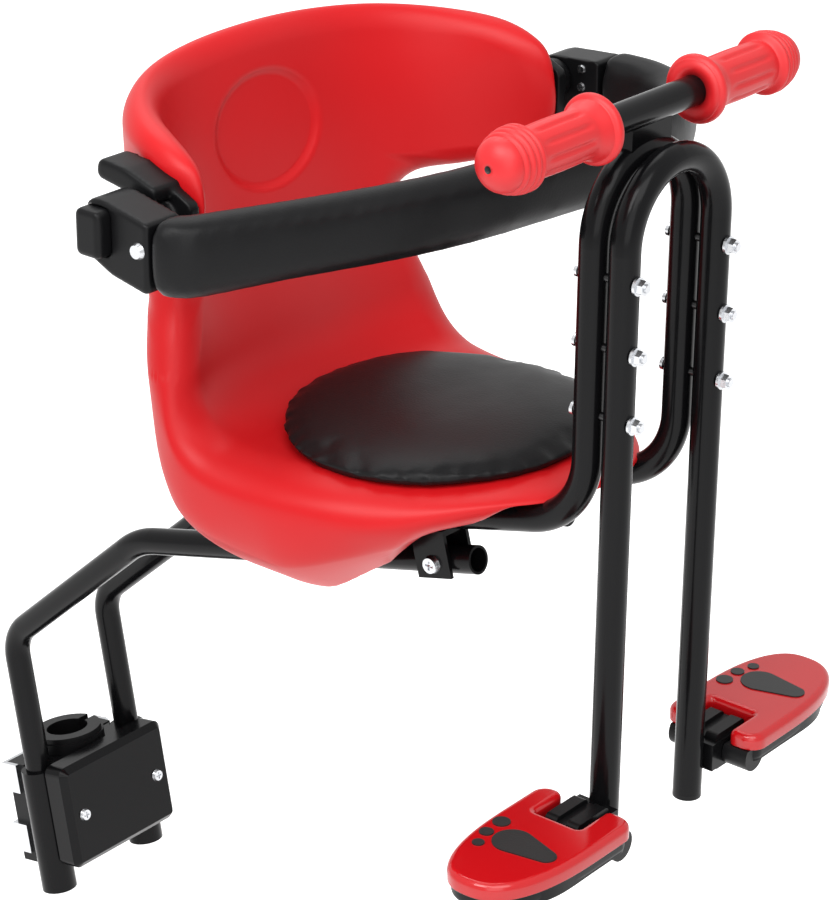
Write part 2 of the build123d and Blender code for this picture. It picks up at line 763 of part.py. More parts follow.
for side_name, side in both_sides():
    with BuildPart() as guard_housing:
        with BuildSketch(guard_side.offset(side * housing_in)):
            with BuildLine():
                FilletPolyline(*(housing_profile if side < 0 else plain_profile), radius=housing_rounds, close=True)
            make_face()
        extrude(amount=side * housing_thick)
        fillet(guard_housing.faces().sort_by(Axis.X)[0 if side < 0 else -1].edges(), 2.5)
        with BuildSketch(guard.offset(-core_tall / 2 - run_clear)):
            with Locations((side * guard_half, guard_end_back - 1)):
                Rectangle(
                    core_thick + 2 * run_clear, core_tongue + 1 + run_clear, align=(Align.CENTER, Align.MIN)
                )
        extrude(amount=core_tall + 2 * run_clear, mode=Mode.SUBTRACT)
        with BuildSketch(guard_side.offset(side * housing_in)):
            with Locations(pivot_spot):
                Circle(pivot_dia / 2 + run_clear)
        extrude(amount=side * (pivot_reach + 0.5), mode=Mode.SUBTRACT)
        if side < 0:
            with BuildSketch(guard_side.offset(side * housing_out)):
                with Locations(button_mid):
                    RectangleRounded(button_long + 2 * fit_clear, button_tall + 2 * fit_clear, 4)
            extrude(amount=button_seat + button_travel + 0.5, mode=Mode.SUBTRACT)
    finish(guard_housing, f"guard_housing_{side_name}")

with BuildPart() as latch_button:
    with BuildSketch(guard_side.offset(-housing_out + button_seat)):
        with Locations(button_mid):
            RectangleRounded(button_long, button_tall, 4)
    extrude(amount=-(button_seat + button_proud))
    fillet(latch_button.faces().sort_by(Axis.X)[0].edges(), 3)
finish(latch_button, "latch_button")

# Screws in the housings
housing_screw_dia = 4.0
housing_head_dia = 10.0
with BuildPart() as guard_screws:
    with BuildSketch(guard_side.offset(-housing_out)):
        with Locations((guard_end_back + housing_head_dia * 0.7, 3)):
            Circle(housing_head_dia / 2)
    extrude(amount=-2.4, taper=25)
    for rise in (0, core_tall / 2):
        with BuildSketch(guard_side.offset(housing_in)):
            with Locations((guard_end_back + core_tongue - 1, rise)):
                Circle(housing_head_dia * 0.3)
        extrude(amount=-1.5, taper=20)
finish(guard_screws, "guard_screws")

# Brackets on the wings that carry the pivots
bracket_out = housing_in - bracket_gap
wing_mid = (back_sections[2][1] + hollow_sections[2][1]) / 2
plate_out = wing_mid + 0.63 * (bracket_out - wing_mid)
tab_out = wing_mid + 0.92 * (bracket_out - wing_mid)
plate_profile = ((44, -22), (92, -22), (98, 26), (60, 24), (44, 16))
tab_profile = ((58, 17), (76, 19), (104, 24), (102, 36), (82, 34), (58, 26))
tab_rounds = [3, 20, 5, 5, 30, 3]
tab_round = 2.5

for side_name, side in both_sides():
    with BuildPart() as guard_bracket:
        with BuildSketch(guard_side.offset(side * wing_mid)):
            with BuildLine():
                FilletPolyline(*plate_profile, radius=6, close=True)
            make_face()
        extrude(amount=side * (plate_out - wing_mid))
        if side < 0:
            with BuildSketch(guard_side.offset(side * wing_mid)):
                with BuildLine():
                    FilletPolyline(*tab_profile, radius=tab_rounds, close=True)
                make_face()
            extrude(amount=side * (tab_out - wing_mid))
            tab_end = guard_bracket.faces().filter_by_position(Axis.X, -tab_out - 0.1, 0.1 - tab_out)
            fillet(tab_end.edges(), tab_round)
        with BuildSketch(guard_side.offset(side * wing_mid)):
            with Locations(pivot_spot):
                Circle(boss_dia / 2)
        extrude(amount=side * (bracket_out - wing_mid))
        add(seat_shell.part, mode=Mode.SUBTRACT)
        with BuildSketch(guard_side.offset(side * bracket_out)):
            with Locations(pivot_spot):
                Circle(pivot_dia / 2 + run_clear)
        extrude(amount=-side * pivot_reach, mode=Mode.SUBTRACT)
    finish(guard_bracket, f"guard_bracket_{side_name}")

with BuildPart() as pivot_pins:
    for _, side in both_sides():
        with BuildSketch(guard_side.offset(side * (bracket_out - pivot_reach + 0.2))):
            with Locations(pivot_spot):
                Circle(pivot_dia / 2)
        extrude(amount=side * (2 * pivot_reach + bracket_gap - 0.4))
finish(pivot_pins, "pivot_pins")

# Foot rests: red top, black base, rubber sole marks, knuckle, bracket and hinge pin
pedal_inner = 63.0
pedal_outer = 180.0
pedal_straight = 98.0
pedal_front = 37.0
pedal_rear = 33.0
pedal_inset = 3.0
pedal_corner = 10.0
barrel_front = -32.0
barrel_rear = 26.0
barrel_dia = 20.0
sole_big = (129, 4)
sole_big_r = 12.5
sole_heel = (130.5, -21)
sole_heel_r = 6.5
toes = ((116, 22.5, 5.5), (130.5, 22.3, 4.5), (143, 18.5, 3.8))
mark_deep = 1.0
mark_proud = 0.8
pin_z = pedal_top - pedal_pin_drop
ear_out = notch_half - 0.4
ear_in = ear_out - ear_thick
ear_reach = 79.0
ear_tall = 9.0
web_in = leg_half + tube_r - 3.5
web_out = leg_half + tube_r + 2.5
knuckle_half = ear_in - run_clear
knuckle_low = 12.0
knuckle_high = 13.0
knuckle_round = 4.0
groove_wide = 7.0
groove_deep = 3.0


def pedal_outline(plane, inset):
    """Plan of a foot rest: square inner end with round corners and a full round outer end."""
    front = inset - pedal_front
    rear = pedal_rear - inset
    tip = pedal_outer - inset
    shoulder = pedal_straight + 0.72 * (tip - pedal_straight)
    with BuildSketch(plane) as outline:
        with BuildLine():
            Spline(
                (pedal_straight, front),
                (shoulder, 0.78 * front),
                (tip, (front + rear) / 2),
                (shoulder, 0.78 * rear),
                (pedal_straight, rear),
                tangents=((1, 0), (-1, 0)),
            )
            Polyline(
                (pedal_straight, rear),
                (pedal_inner + inset / 2, rear),
                (pedal_inner + inset / 2, front),
                (pedal_straight, front),
            )
        make_face()
        fillet(outline.vertices().sort_by(Axis.X)[:2], pedal_corner)
    return outline.sketch


with BuildPart() as leg_plugs:
    for _, side in both_sides():
        with Locations((side * leg_half, leg_y, leg_foot)):
            Cylinder(tube_r - tube_wall - run_clear, tube_od * 0.7, align=(Align.CENTER, Align.CENTER, Align.MIN))
            Cylinder(tube_r, tube_od / 6, align=(Align.CENTER, Align.CENTER, Align.MAX))
finish(leg_plugs, "leg_plugs")

for side_name, side in both_sides():
    hinge = Plane((side * pedal_pin_out, leg_y, pin_z), x_dir=(side, 0, 0), z_dir=(0, -side, 0))
    tread = Plane((0, leg_y, pedal_top), x_dir=(side, 0, 0), z_dir=(0, 0, side))
    with BuildPart() as pedal_top_part:
        extrude(pedal_outline(tread, 0), amount=pedal_top_thick, dir=(0, 0, -1))
        fillet(pedal_top_part.faces().sort_by(Axis.Z)[-1].edges(), 3.5)
        with BuildSketch(tread):
            Rectangle(2 * notch_out, 2 * notch_half)
        extrude(amount=-side * pedal_top_thick, mode=Mode.SUBTRACT)
        with BuildSketch(tread):
            with BuildSketch(mode=Mode.PRIVATE) as sole:
                with Locations(sole_big):
                    Circle(sole_big_r)
                with Locations(sole_heel):
                    Circle(sole_heel_r)
                make_hull()
            add(sole.sketch)
            for x, y, r in toes:
                with Locations((x, y)):
                    Circle(r)
        extrude(amount=-side * mark_deep, mode=Mode.SUBTRACT)
    finish(pedal_top_part, f"pedal_top_{side_name}")
    with BuildPart() as pedal_marks:
        with BuildSketch(tread.offset(-side * mark_deep)):
            with Locations(sole_big):
                Circle(sole_big_r - run_clear)
            with Locations(sole_heel):
                Circle(sole_heel_r - run_clear)
            make_hull()
        extrude(amount=side * (mark_deep + mark_proud))
        for x, y, r in toes:
            with BuildSketch(tread.offset(-side * mark_deep)):
                with Locations((x, y)):
                    Circle(r - run_clear)
            extrude(amount=side * (mark_deep + mark_proud))
    finish(pedal_marks, f"pedal_marks_{side_name}")
    seam = tread.offset(-side * pedal_top_thick)
    with BuildPart() as pedal_base:
        extrude(pedal_outline(seam, pedal_inset), amount=pedal_base_thick, dir=(0, 0, -1))
        with BuildSketch(hinge.offset(side * -barrel_rear)):
            Circle(barrel_dia / 2)
        extrude(amount=side * (barrel_rear - barrel_front))
        with BuildSketch(tread):
            Rectangle(400, 400)
        extrude(amount=-side * pedal_top_thick, mode=Mode.SUBTRACT)
        with BuildSketch(seam):
            Rectangle(2 * notch_out, 2 * notch_half)
        extrude(amount=-side * (pedal_base_thick + barrel_dia), mode=Mode.SUBTRACT)
        with BuildSketch(hinge):
            Circle(pedal_pin_dia / 2 + run_clear)
        extrude(amount=pedal_pin_half + 0.3, both=True, mode=Mode.SUBTRACT)
    finish(pedal_base, f"pedal_base_{side_name}")
    with BuildPart() as pedal_knuckle:
        with BuildSketch(hinge):
            with BuildLine():
                FilletPolyline(
                    (web_out - pedal_pin_out + run_clear, -knuckle_low),
                    (knuckle_out - pedal_pin_out, -knuckle_low),
                    (knuckle_out - pedal_pin_out, knuckle_high),
                    (web_out - pedal_pin_out + run_clear, knuckle_high),
                    radius=knuckle_round,
                    close=True,
                )
            make_face()
            Circle(pedal_pin_dia / 2 + run_clear, mode=Mode.SUBTRACT)
        extrude(amount=knuckle_half, both=True)
        with BuildSketch(tread.offset(-side * (pedal_pin_drop - knuckle_high))):
            with Locations((pedal_pin_out, 0)):
                Rectangle(4 * knuckle_half, groove_wide)
        extrude(amount=-side * groove_deep, mode=Mode.SUBTRACT)
    finish(pedal_knuckle, f"pedal_knuckle_{side_name}")
    with BuildPart() as pedal_bracket:
        with BuildSketch(tread.offset(-side * pedal_pin_drop)):
            with Locations((web_in, 0)):
                Rectangle(ear_reach - web_in, 2 * ear_out, align=(Align.MIN, Align.CENTER))
            with Locations((web_out, 0)):
                Rectangle(ear_reach, 2 * ear_in, align=(Align.MIN, Align.CENTER), mode=Mode.SUBTRACT)
            with Locations((leg_half, 0)):
                Circle(tube_r + run_clear, mode=Mode.SUBTRACT)
        extrude(amount=ear_tall, both=True)
        with BuildSketch(hinge):
            Circle(pedal_pin_dia / 2 + run_clear)
        extrude(amount=2 * ear_out, both=True, mode=Mode.SUBTRACT)
    finish(pedal_bracket, f"pedal_bracket_{side_name}")
    with BuildPart() as pedal_pin:
        with BuildSketch(hinge):
            Circle(pedal_pin_dia / 2)
        extrude(amount=pedal_pin_half, both=True)
    finish(pedal_pin, f"pedal_pin_{side_name}")
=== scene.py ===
"""Child's bicycle seat: skins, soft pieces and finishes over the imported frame.

The row frame is in metres, with the origin on the seat post's axis, -Y ahead and +Z up.
"""

import json
from math import cos, pi, radians, sin

import bmesh
import bpy
import numpy as np
from mathutils import Matrix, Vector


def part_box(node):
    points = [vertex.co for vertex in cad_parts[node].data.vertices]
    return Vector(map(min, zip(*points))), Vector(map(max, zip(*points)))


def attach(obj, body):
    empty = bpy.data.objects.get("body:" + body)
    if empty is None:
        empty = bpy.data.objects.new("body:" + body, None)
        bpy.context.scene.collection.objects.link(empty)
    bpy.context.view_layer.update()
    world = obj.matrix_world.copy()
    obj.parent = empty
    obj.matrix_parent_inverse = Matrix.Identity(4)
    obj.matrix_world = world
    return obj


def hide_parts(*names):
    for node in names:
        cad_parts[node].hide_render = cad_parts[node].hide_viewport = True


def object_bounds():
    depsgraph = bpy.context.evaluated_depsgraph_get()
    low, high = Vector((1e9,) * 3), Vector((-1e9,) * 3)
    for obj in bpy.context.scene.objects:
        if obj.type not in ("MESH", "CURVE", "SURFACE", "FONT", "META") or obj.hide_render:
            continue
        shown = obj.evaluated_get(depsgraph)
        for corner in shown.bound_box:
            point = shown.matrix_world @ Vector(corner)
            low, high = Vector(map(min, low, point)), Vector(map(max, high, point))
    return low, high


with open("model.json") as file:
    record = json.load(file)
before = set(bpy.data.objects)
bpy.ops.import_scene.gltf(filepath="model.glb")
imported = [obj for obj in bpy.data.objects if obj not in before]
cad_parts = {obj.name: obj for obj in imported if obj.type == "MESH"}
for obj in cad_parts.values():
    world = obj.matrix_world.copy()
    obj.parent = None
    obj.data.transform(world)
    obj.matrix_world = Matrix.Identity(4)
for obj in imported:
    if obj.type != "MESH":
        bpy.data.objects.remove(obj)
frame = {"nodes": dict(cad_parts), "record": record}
first_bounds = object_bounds()
nodes = frame["nodes"]
MM = 0.001

# Datum points read from the frame
leg_low, leg_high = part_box("leg_arch")
bar_low, bar_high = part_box("handlebar_tube")
cushion_low, cushion_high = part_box("seat_cushion")
pad_low, pad_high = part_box("guard_pad")
LEG_Y = (leg_low.y + leg_high.y) / 2
BAR_Y = (bar_low.y + bar_high.y) / 2
BAR_Z = (bar_low.z + bar_high.z) / 2
SEAT_Y = (cushion_low.y + cushion_high.y) / 2
# Height of the guard's middle over the pan, in millimetres
GUARD_HIGH = 165.0
PAN_Z = (pad_low.z + pad_high.z) / 2 - GUARD_HIGH * MM
SEAT_AT = np.array([0, SEAT_Y, PAN_Z])
BAR_AT = np.array([0, BAR_Y, BAR_Z])
SIDES = (("right", -1), ("left", 1))
# Distance within which doubled points merge: on the scene's own grids, and on copies of the frame's meshes
GRID_MERGE = 0.02 * MM
FRAME_MERGE = 0.01 * MM


def smooth(start, end, value):
    """0 before start, 1 after end, and a cubic ease between them."""
    t = np.clip((value - start) / (end - start), 0, 1)
    return t * t * (3 - 2 * t)


def grid_mesh(name, points, close_columns=False, caps=False):
    """A smooth mesh object from an array of points shaped rows, columns, 3, in metres.

    With caps, one flat face closes the first row and another the last.
    """
    rows, columns = points.shape[:2]
    index = np.arange(rows * columns).reshape(rows, columns)
    ends = [index[0].tolist(), index[-1].tolist()] if caps else []
    if close_columns:
        index = np.hstack([index, index[:, :1]])
    quads = np.stack([index[:-1, :-1], index[:-1, 1:], index[1:, 1:], index[1:, :-1]], -1).reshape(-1, 4)
    mesh = bpy.data.meshes.new(name)
    mesh.from_pydata(points.reshape(-1, 3).tolist(), [], quads.tolist() + ends)
    mesh.validate()
    mesh.polygons.foreach_set("use_smooth", np.arange(len(mesh.polygons)) < len(quads))
    item = bpy.data.objects.new(name, mesh)
    bpy.context.scene.collection.objects.link(item)
    return item


def pick(*items):
    """Select these objects alone, with the first as the active one."""
    bpy.ops.object.select_all(action="DESELECT")
    for item in items:
        item.select_set(True)
    bpy.context.view_layer.objects.active = items[0]


def weld(item, distance=GRID_MERGE):
    """Merge doubled points and turn the faces outwards."""
    pick(item)
    bpy.ops.object.mode_set(mode="EDIT")
    bpy.ops.mesh.select_all(action="SELECT")
    bpy.ops.mesh.remove_doubles(threshold=distance)
    bpy.ops.mesh.normals_make_consistent(inside=False)
    bpy.ops.object.mode_set(mode="OBJECT")
    return item


# Seat shell, in millimetres from the middle of the pan's top
PAN_FALL = radians(2.45)
BACK_LEAN = radians(10.1)
PAN_FRONT = (-128.0, 8.2)
PAN_RUN = 202.5
HIP_RADIUS = 45.0
HIP_TURN = pi / 2 - BACK_LEAN + PAN_FALL
BACK_EDGE = 14.0
PAN_EDGE = 22.0
BACK_ROUND = 17.0
PAN_ROUND = 36.0
OUTER_ROUND = 14.0
LIP_EDGE = 7.0
LIP_THICK = 8.0
LIP_GROWTH = 0.27
LIP_SWELL = 85.0
LIP_SWELL_SPAN = (62, 205)
EDGE_SPAN = (25, 105)
BACK_TO_PAN = (290, 190)
LEAST_EDGE = 4.0
LEAST_BEHIND = 0.5
THINNEST = 9.0
DEEPEST = 150.0
HALVINGS = 22
PINCH_START = -36.0
PINCH_DEEP = 72.0
LEAST_PINCH = 0.01
SKIRT_LOW = -103.0
SKIRT_SCALE = 20.0
BLEND_HALF = 40.0
TOP_LEVEL = 240.0
CHANNEL_HALF = 63.0
CHANNEL_FADE = (9.0, 5.0)
FACING_RAILS = (0.15, 0.5)
LEAST_FACING = 0.2
PLATE_SLOPE = radians(14.7)
PLATE_DROP = 27.3
CUT_SOFT = 5.0
BACK_CENTRE = 396.0
RECESS_HALF = (46.0, 36.0)
RECESS_DEEP = 3.0
RECESS_STEP = (1.03, 0.97)
RECESS_MARGIN = 1.12
RIM_CROWDING = 2.2
SHELL_COLUMNS = 400
# Rows of each skin: inside the recess, and from there to the rim
INNER_ROWS = (20, 80)
OUTER_ROWS = (12, 110)
# Curl of the strips across the seat: degrees, and the stretch of the middle line over which they are gained
CURLS = ((8, 60, 150), (57, 165, 300), (10, 340, 420))
CURL_WIDTHS = (20, 210)
CURL_STEPS = 24
# Outside at heights over the pan: half width, waist, front, rear, and width and length of the rear corner
PAN_LEVEL = (0, 140, 38, 184, 152, 80, 64)
SKIRT = ((-92, 114, 36, 40, 120, 68, 52), (-52, 130, 36, 80, 138, 74, 56), PAN_LEVEL)
BACK = (PAN_LEVEL, (100, 156, 50, 210, 168, 112, 96), (236, 177, 50, 240, 174, 160, 118))
# Half of the rim, unrolled: distance from the middle line, and distance along it from the front
RIM_HALF = np.array([
    (0, 1), (38, 9), (69, 33), (100, 72), (119, 110), (128, 150), (131, 190), (129, 222),
    (122, 256), (111, 287), (102, 311), (102, 329), (117, 340), (148, 341), (182, 345), (204, 358),
    (210, 386), (204, 412), (182, 430), (146, 443), (100, 454), (50, 460), (0, 462),
], float)


def middle_line(q):
    """Side view of the seat's middle: a straight pan, an arc at the hips and a straight back."""
    along = np.clip(q, None, PAN_RUN)
    turned = np.clip(q - PAN_RUN, 0, HIP_RADIUS * HIP_TURN) / HIP_RADIUS
    risen = np.clip(q - PAN_RUN - HIP_RADIUS * HIP_TURN, 0, None)
    angle = turned - PAN_FALL
    y = PAN_FRONT[0] + along * cos(PAN_FALL) + HIP_RADIUS * (np.sin(angle) + sin(PAN_FALL))
    z = PAN_FRONT[1] - along * sin(PAN_FALL) + HIP_RADIUS * (cos(PAN_FALL) - np.cos(angle))
    lean = HIP_TURN - PAN_FALL
    return y + risen * cos(lean), z + risen * sin(lean), angle


def inner_skin(p, q):
    """A strip of half width p across the middle line at q, curled up by an angle that grows to the back.

    The strip's slope is the curl angle times an ease along p, and its points are that slope's running sum.
    """
    y, z, angle = middle_line(q)
    curl = sum(radians(turn) * smooth(start, end, q) for turn, start, end in CURLS)
    width = np.abs(p)
    across = np.zeros_like(width)
    rise = np.zeros_like(width)
    for step in range(CURL_STEPS):
        slope = curl * smooth(*CURL_WIDTHS, width * (step + 0.5) / CURL_STEPS)
        across = across + np.cos(slope) * width / CURL_STEPS
        rise = rise + np.sin(slope) * width / CURL_STEPS
    return np.stack([np.sign(p) * across, y - rise * np.sin(angle), z + rise * np.cos(angle)], -1)


def inner_normal(p, q):
    """Unit normal of the inner skin, towards the child, from small steps along p and q."""
    step = 0.5
    along_p = inner_skin(p + step, q) - inner_skin(p - step, q)
    along_q = inner_skin(p, q + step) - inner_skin(p, q - step)
    normal = np.cross(along_p, along_q)
    return normal / np.linalg.norm(normal, axis=-1, keepdims=True)


def closed_curve(half, count):
    """A closed smooth curve through a half outline and its mirror image, evenly spaced."""
    ring = np.vstack([half, half[-2:0:-1] * (-1, 1)])
    before = np.roll(ring, 1, 0)
    after = np.roll(ring, -1, 0)
    later = np.roll(ring, -2, 0)
    steps = 24
    t = np.linspace(0, 1, steps, endpoint=False)[None, :, None]
    a, b, c, d = (v[:, None, :] for v in (before, ring, after, later))
    path = 0.5 * (2 * b + (c - a) * t + (2 * a - 5 * b + 4 * c - d) * t**2 + (3 * b - a - 3 * c + d) * t**3)
    path = path.reshape(-1, 2)
    path = np.vstack([path, path[:1]])
    length = np.concatenate([[0], np.cumsum(np.linalg.norm(np.diff(path, axis=0), axis=1))])
    even = np.linspace(0, length[-1], count, endpoint=False)
    return np.stack([np.interp(even, length, path[:, k]) for k in range(2)], -1)


def parabola(sections, z):
    """Each size at height z on the parabola through its values in three sections."""
    table = np.array(sections, float)
    total = 0
    for i in range(3):
        weight = np.ones_like(z)
        for j in range(3):
            if j != i:
                weight = weight * (z - table[j, 0]) / (table[i, 0] - table[j, 0])
        total = total + weight[..., None] * table[i, 1:]
    return total


def outside(points):
    """Above 0 where a point is outside the seat's plan outline at its height, or below the skirt.

    The outline is a half ellipse ahead of the waist, and behind it a flat back with elliptical corners.
    Low down it shrinks about the waist as a quarter ellipse of the height.
    """
    x, y, z = np.abs(points[..., 0]), points[..., 1], points[..., 2]
    level = np.clip(z, SKIRT[0][0], TOP_LEVEL)
    upper = smooth(-BLEND_HALF, BLEND_HALF, level)[..., None]
    sizes = parabola(SKIRT, level) * (1 - upper) + parabola(BACK, level) * upper
    half, waist, front, rear, wide, long = np.moveaxis(sizes, -1, 0)
    below = np.clip(PINCH_START - z, 0, None) / PINCH_DEEP
    pinch = np.sqrt(np.clip(1 - below**2, LEAST_PINCH, 1))
    x = x / pinch
    y = waist + (y - waist) / pinch
    turn = rear - long
    ahead = np.hypot(x / half, (y - waist) / front) - 1
    corner = np.hypot(np.clip(x - half + wide, 0, None) / wide, (y - turn) / long) - 1
    plan = np.where(y < waist, ahead, np.where(y < turn, x / half - 1, corner))
    return np.maximum(plan, (SKIRT_LOW - z) / SKIRT_SCALE)


def wall_depth(base, normal):
    """Distance from the inner skin, against its normal, to the outside surface, by halving steps."""
    near = np.zeros(base.shape[:-1])
    far = np.full(base.shape[:-1], DEEPEST)
    for _ in range(HALVINGS):
        middle = (near + far) / 2
        out = outside(base - normal * middle[..., None]) > 0
        far = np.where(out, middle, far)
        near = np.where(out, near, middle)
    return np.clip(near, THINNEST, None)


def make_shell():
    """Two skins over one unrolled outline that meet in a rounded rim.

    Each ray runs from the middle of the recess to the rim. Near the rim both skins leave the middle of
    the wall as quarter ellipses of the distance to the rim. The outer skin is where the inner skin's
    normal meets the outside surface, cut off flat over the rails.
    """
    rim = closed_curve(RIM_HALF, SHELL_COLUMNS)
    centre = np.array([0.0, BACK_CENTRE])
    ray = rim - centre
    tangent = np.roll(rim, -1, 0) - np.roll(rim, 1, 0)
    outward = np.stack([tangent[:, 1], -tangent[:, 0]], -1)
    outward /= np.linalg.norm(outward, axis=1, keepdims=True)
    reach = np.abs((ray * outward).sum(1))
    recess = RECESS_MARGIN / np.hypot(ray[:, 0] / RECESS_HALF[0], ray[:, 1] / RECESS_HALF[1])

    def skin(inner_rows, outer_rows, outer_side):
        near = np.linspace(0, 1, inner_rows, endpoint=False)[:, None] * recess
        far = recess + (1 - recess) * (1 - (1 - np.linspace(0, 1, outer_rows)) ** RIM_CROWDING)[:, None]
        r = np.vstack([near, far])
        p = r * ray[:, 0]
        q = centre[1] + r * ray[:, 1]
        depth = (1 - r) * reach
        front = smooth(*BACK_TO_PAN, q)
        roll = OUTER_ROUND if outer_side else BACK_ROUND + (PAN_ROUND - BACK_ROUND) * front
        swell = np.sqrt(np.clip(1 - (1 - np.clip(depth / roll, 0, 1)) ** 2, 0, 1))
        base = inner_skin(p, q)
        normal = inner_normal(p, q)
        lip = LIP_THICK + LIP_GROWTH * q + LIP_SWELL * smooth(*LIP_SWELL_SPAN, q)
        thick = np.minimum(wall_depth(base, normal), lip)
        side_edge = LIP_EDGE + (PAN_EDGE - LIP_EDGE) * smooth(*EDGE_SPAN, q)
        edge = np.clip(thick / 2, LEAST_EDGE, BACK_EDGE) * (1 - front) + side_edge * front
        thick = np.maximum(thick, edge + LEAST_BEHIND)
        middle = base - normal * edge[..., None]
        if not outer_side:
            apart = np.hypot(p / RECESS_HALF[0], (q - centre[1]) / RECESS_HALF[1])
            dish = RECESS_DEEP * smooth(*RECESS_STEP, apart)
            return middle + normal * (swell * edge - dish)[..., None]
        above = (base[..., 2] + PLATE_DROP) * cos(PLATE_SLOPE) + base[..., 1] * sin(PLATE_SLOPE)
        toward = normal[..., 2] * cos(PLATE_SLOPE) + normal[..., 1] * sin(PLATE_SLOPE)
        flat = above / np.clip(toward, LEAST_FACING, None)
        start, end = CHANNEL_HALF + CHANNEL_FADE[0], CHANNEL_HALF - CHANNEL_FADE[1]
        over_rails = smooth(start, end, np.abs(base[..., 0])) * smooth(*FACING_RAILS, toward)
        lesser = -CUT_SOFT * np.log(np.exp(-flat / CUT_SOFT) + np.exp(-thick / CUT_SOFT))
        thick = thick + over_rails * (np.clip(lesser, edge + LEAST_BEHIND, None) - thick)
        return middle - normal * (swell * (thick - edge))[..., None]

    inner = grid_mesh("shell_inner", skin(*INNER_ROWS, False) * MM + SEAT_AT, close_columns=True)
    outer = grid_mesh("shell_outer", skin(*OUTER_ROWS, True) * MM + SEAT_AT, close_columns=True)
    pick(inner, outer)
    bpy.ops.object.join()
    inner.name = "seat_shell_skin"
    return weld(inner)


shell = make_shell()
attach(shell, "base")
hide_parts("seat_shell")

# Wing brackets, cut off where they enter the wings, and the guard's housings
BRACKET_INNER = 168.0
# Size of the even mesh, and the passes that round it
BRACKET_SOFT = (1.2 * MM, 5)
HOUSING_SOFT = (1.0 * MM, 7)


def soften(item, voxel, passes):
    """Round every edge of a closed mesh.

    It is meshed evenly, and then each point moves half way to its neighbours' mean, once in each pass.
    """
    pick(item)
    even = item.modifiers.new("even", "REMESH")
    even.mode = "VOXEL"
    even.voxel_size = voxel
    even.use_smooth_shade = True
    ease = item.modifiers.new("ease", "SMOOTH")
    ease.factor = 0.5
    ease.iterations = passes
    for modifier in (even.name, ease.name):
        bpy.ops.object.modifier_apply(modifier=modifier)


def make_bracket(side_name, side):
    """A merged copy of a wing's bracket, cut by an upright plane inside the wing's wall and closed."""
    source = nodes[f"guard_bracket_{side_name}"]
    item = bpy.data.objects.new(f"wing_bracket_{side_name}", source.data.copy())
    bpy.context.scene.collection.objects.link(item)
    solid = bmesh.new()
    solid.from_mesh(item.data)
    bmesh.ops.remove_doubles(solid, verts=solid.verts, dist=FRAME_MERGE)
    cut = bmesh.ops.bisect_plane(
        solid,
        geom=solid.verts[:] + solid.edges[:] + solid.faces[:],
        plane_co=(side * BRACKET_INNER * MM, 0, 0),
        plane_no=(side, 0, 0),
        clear_inner=True,
    )
    rim = [part for part in cut["geom_cut"] if isinstance(part, bmesh.types.BMEdge)]
    bmesh.ops.triangle_fill(solid, use_beauty=True, edges=rim)
    bmesh.ops.recalc_face_normals(solid, faces=solid.faces)
    solid.to_mesh(item.data)
    solid.free()
    soften(item, *BRACKET_SOFT)
    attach(item, "base")
    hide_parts(source.name)
    return item


def make_housing(name, body):
    """A merged copy of a guard end's housing or button, with its edges rounded."""
    item = bpy.data.objects.new(f"{name}_skin", nodes[name].data.copy())
    bpy.context.scene.collection.objects.link(item)
    weld(item, FRAME_MERGE)
    soften(item, *HOUSING_SOFT)
    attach(item, body)
    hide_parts(name)
    return item


brackets = [make_bracket(side_name, side) for side_name, side in SIDES]
housings = [
    make_housing("guard_housing_right", "guard"),
    make_housing("guard_housing_left", "guard"),
    make_housing("latch_button", "latch"),
]


# Soft pieces
CUSHION_HALF = (106.0, 100.0)
CUSHION_SEAM = 7.0
CUSHION_CROWN = 17.0
CUSHION_REAR_LIFT = 7.0
CUSHION_LIFT = 1.8
CUSHION_FALL = 0.04286
CUSHION_POWER = 3.2
CUSHION_UNDER = (0.93, 1.0)
CUSHION_RINGS = 44
CUSHION_TURNS = 240
# Folds at the rim: height, number round it, and depth and number of the slow swing in their spacing
FOLDS = ((1, 34, 1.3, 5), (0.6, 57, 2, 3))
FOLD_RIM = (0.86, 0.97)
FOLD_LIFT = (1, 6)
FOLD_HIGH = 0.4
FOLD_OUT = 0.004
LEAST_LIFT = 0.15
GUARD_HALF = 208.5
GUARD_END = 33.0
GUARD_SECTION = (14.5, 23.6)
GUARD_PATH = ((-1, GUARD_END), (-1, 21), (-0.288, -41), (0.5755, -66), (1, -24), (1, GUARD_END))
GUARD_BENDS = (14, 400, 150, 62)
GUARD_STEP = 3.0
GUARD_AROUND = 72
GUARD_POWER = 0.72
# Size of the section at the very end, what it gains from there, and over what length
GUARD_DRAW = (0.94, 0.06, 6.0)
GUARD_CAP = (0, 0.35, 0.7)
GUARD_GAP = 0.2
# Cloth pass: size of the even mesh, pressure, and how far a point may move
CUSHION_PUFF = (4 * MM, 4.0, 2.0 * MM)
GUARD_PUFF = (5 * MM, 4.0, 1.2 * MM)
CLOTH_FRAMES = 20


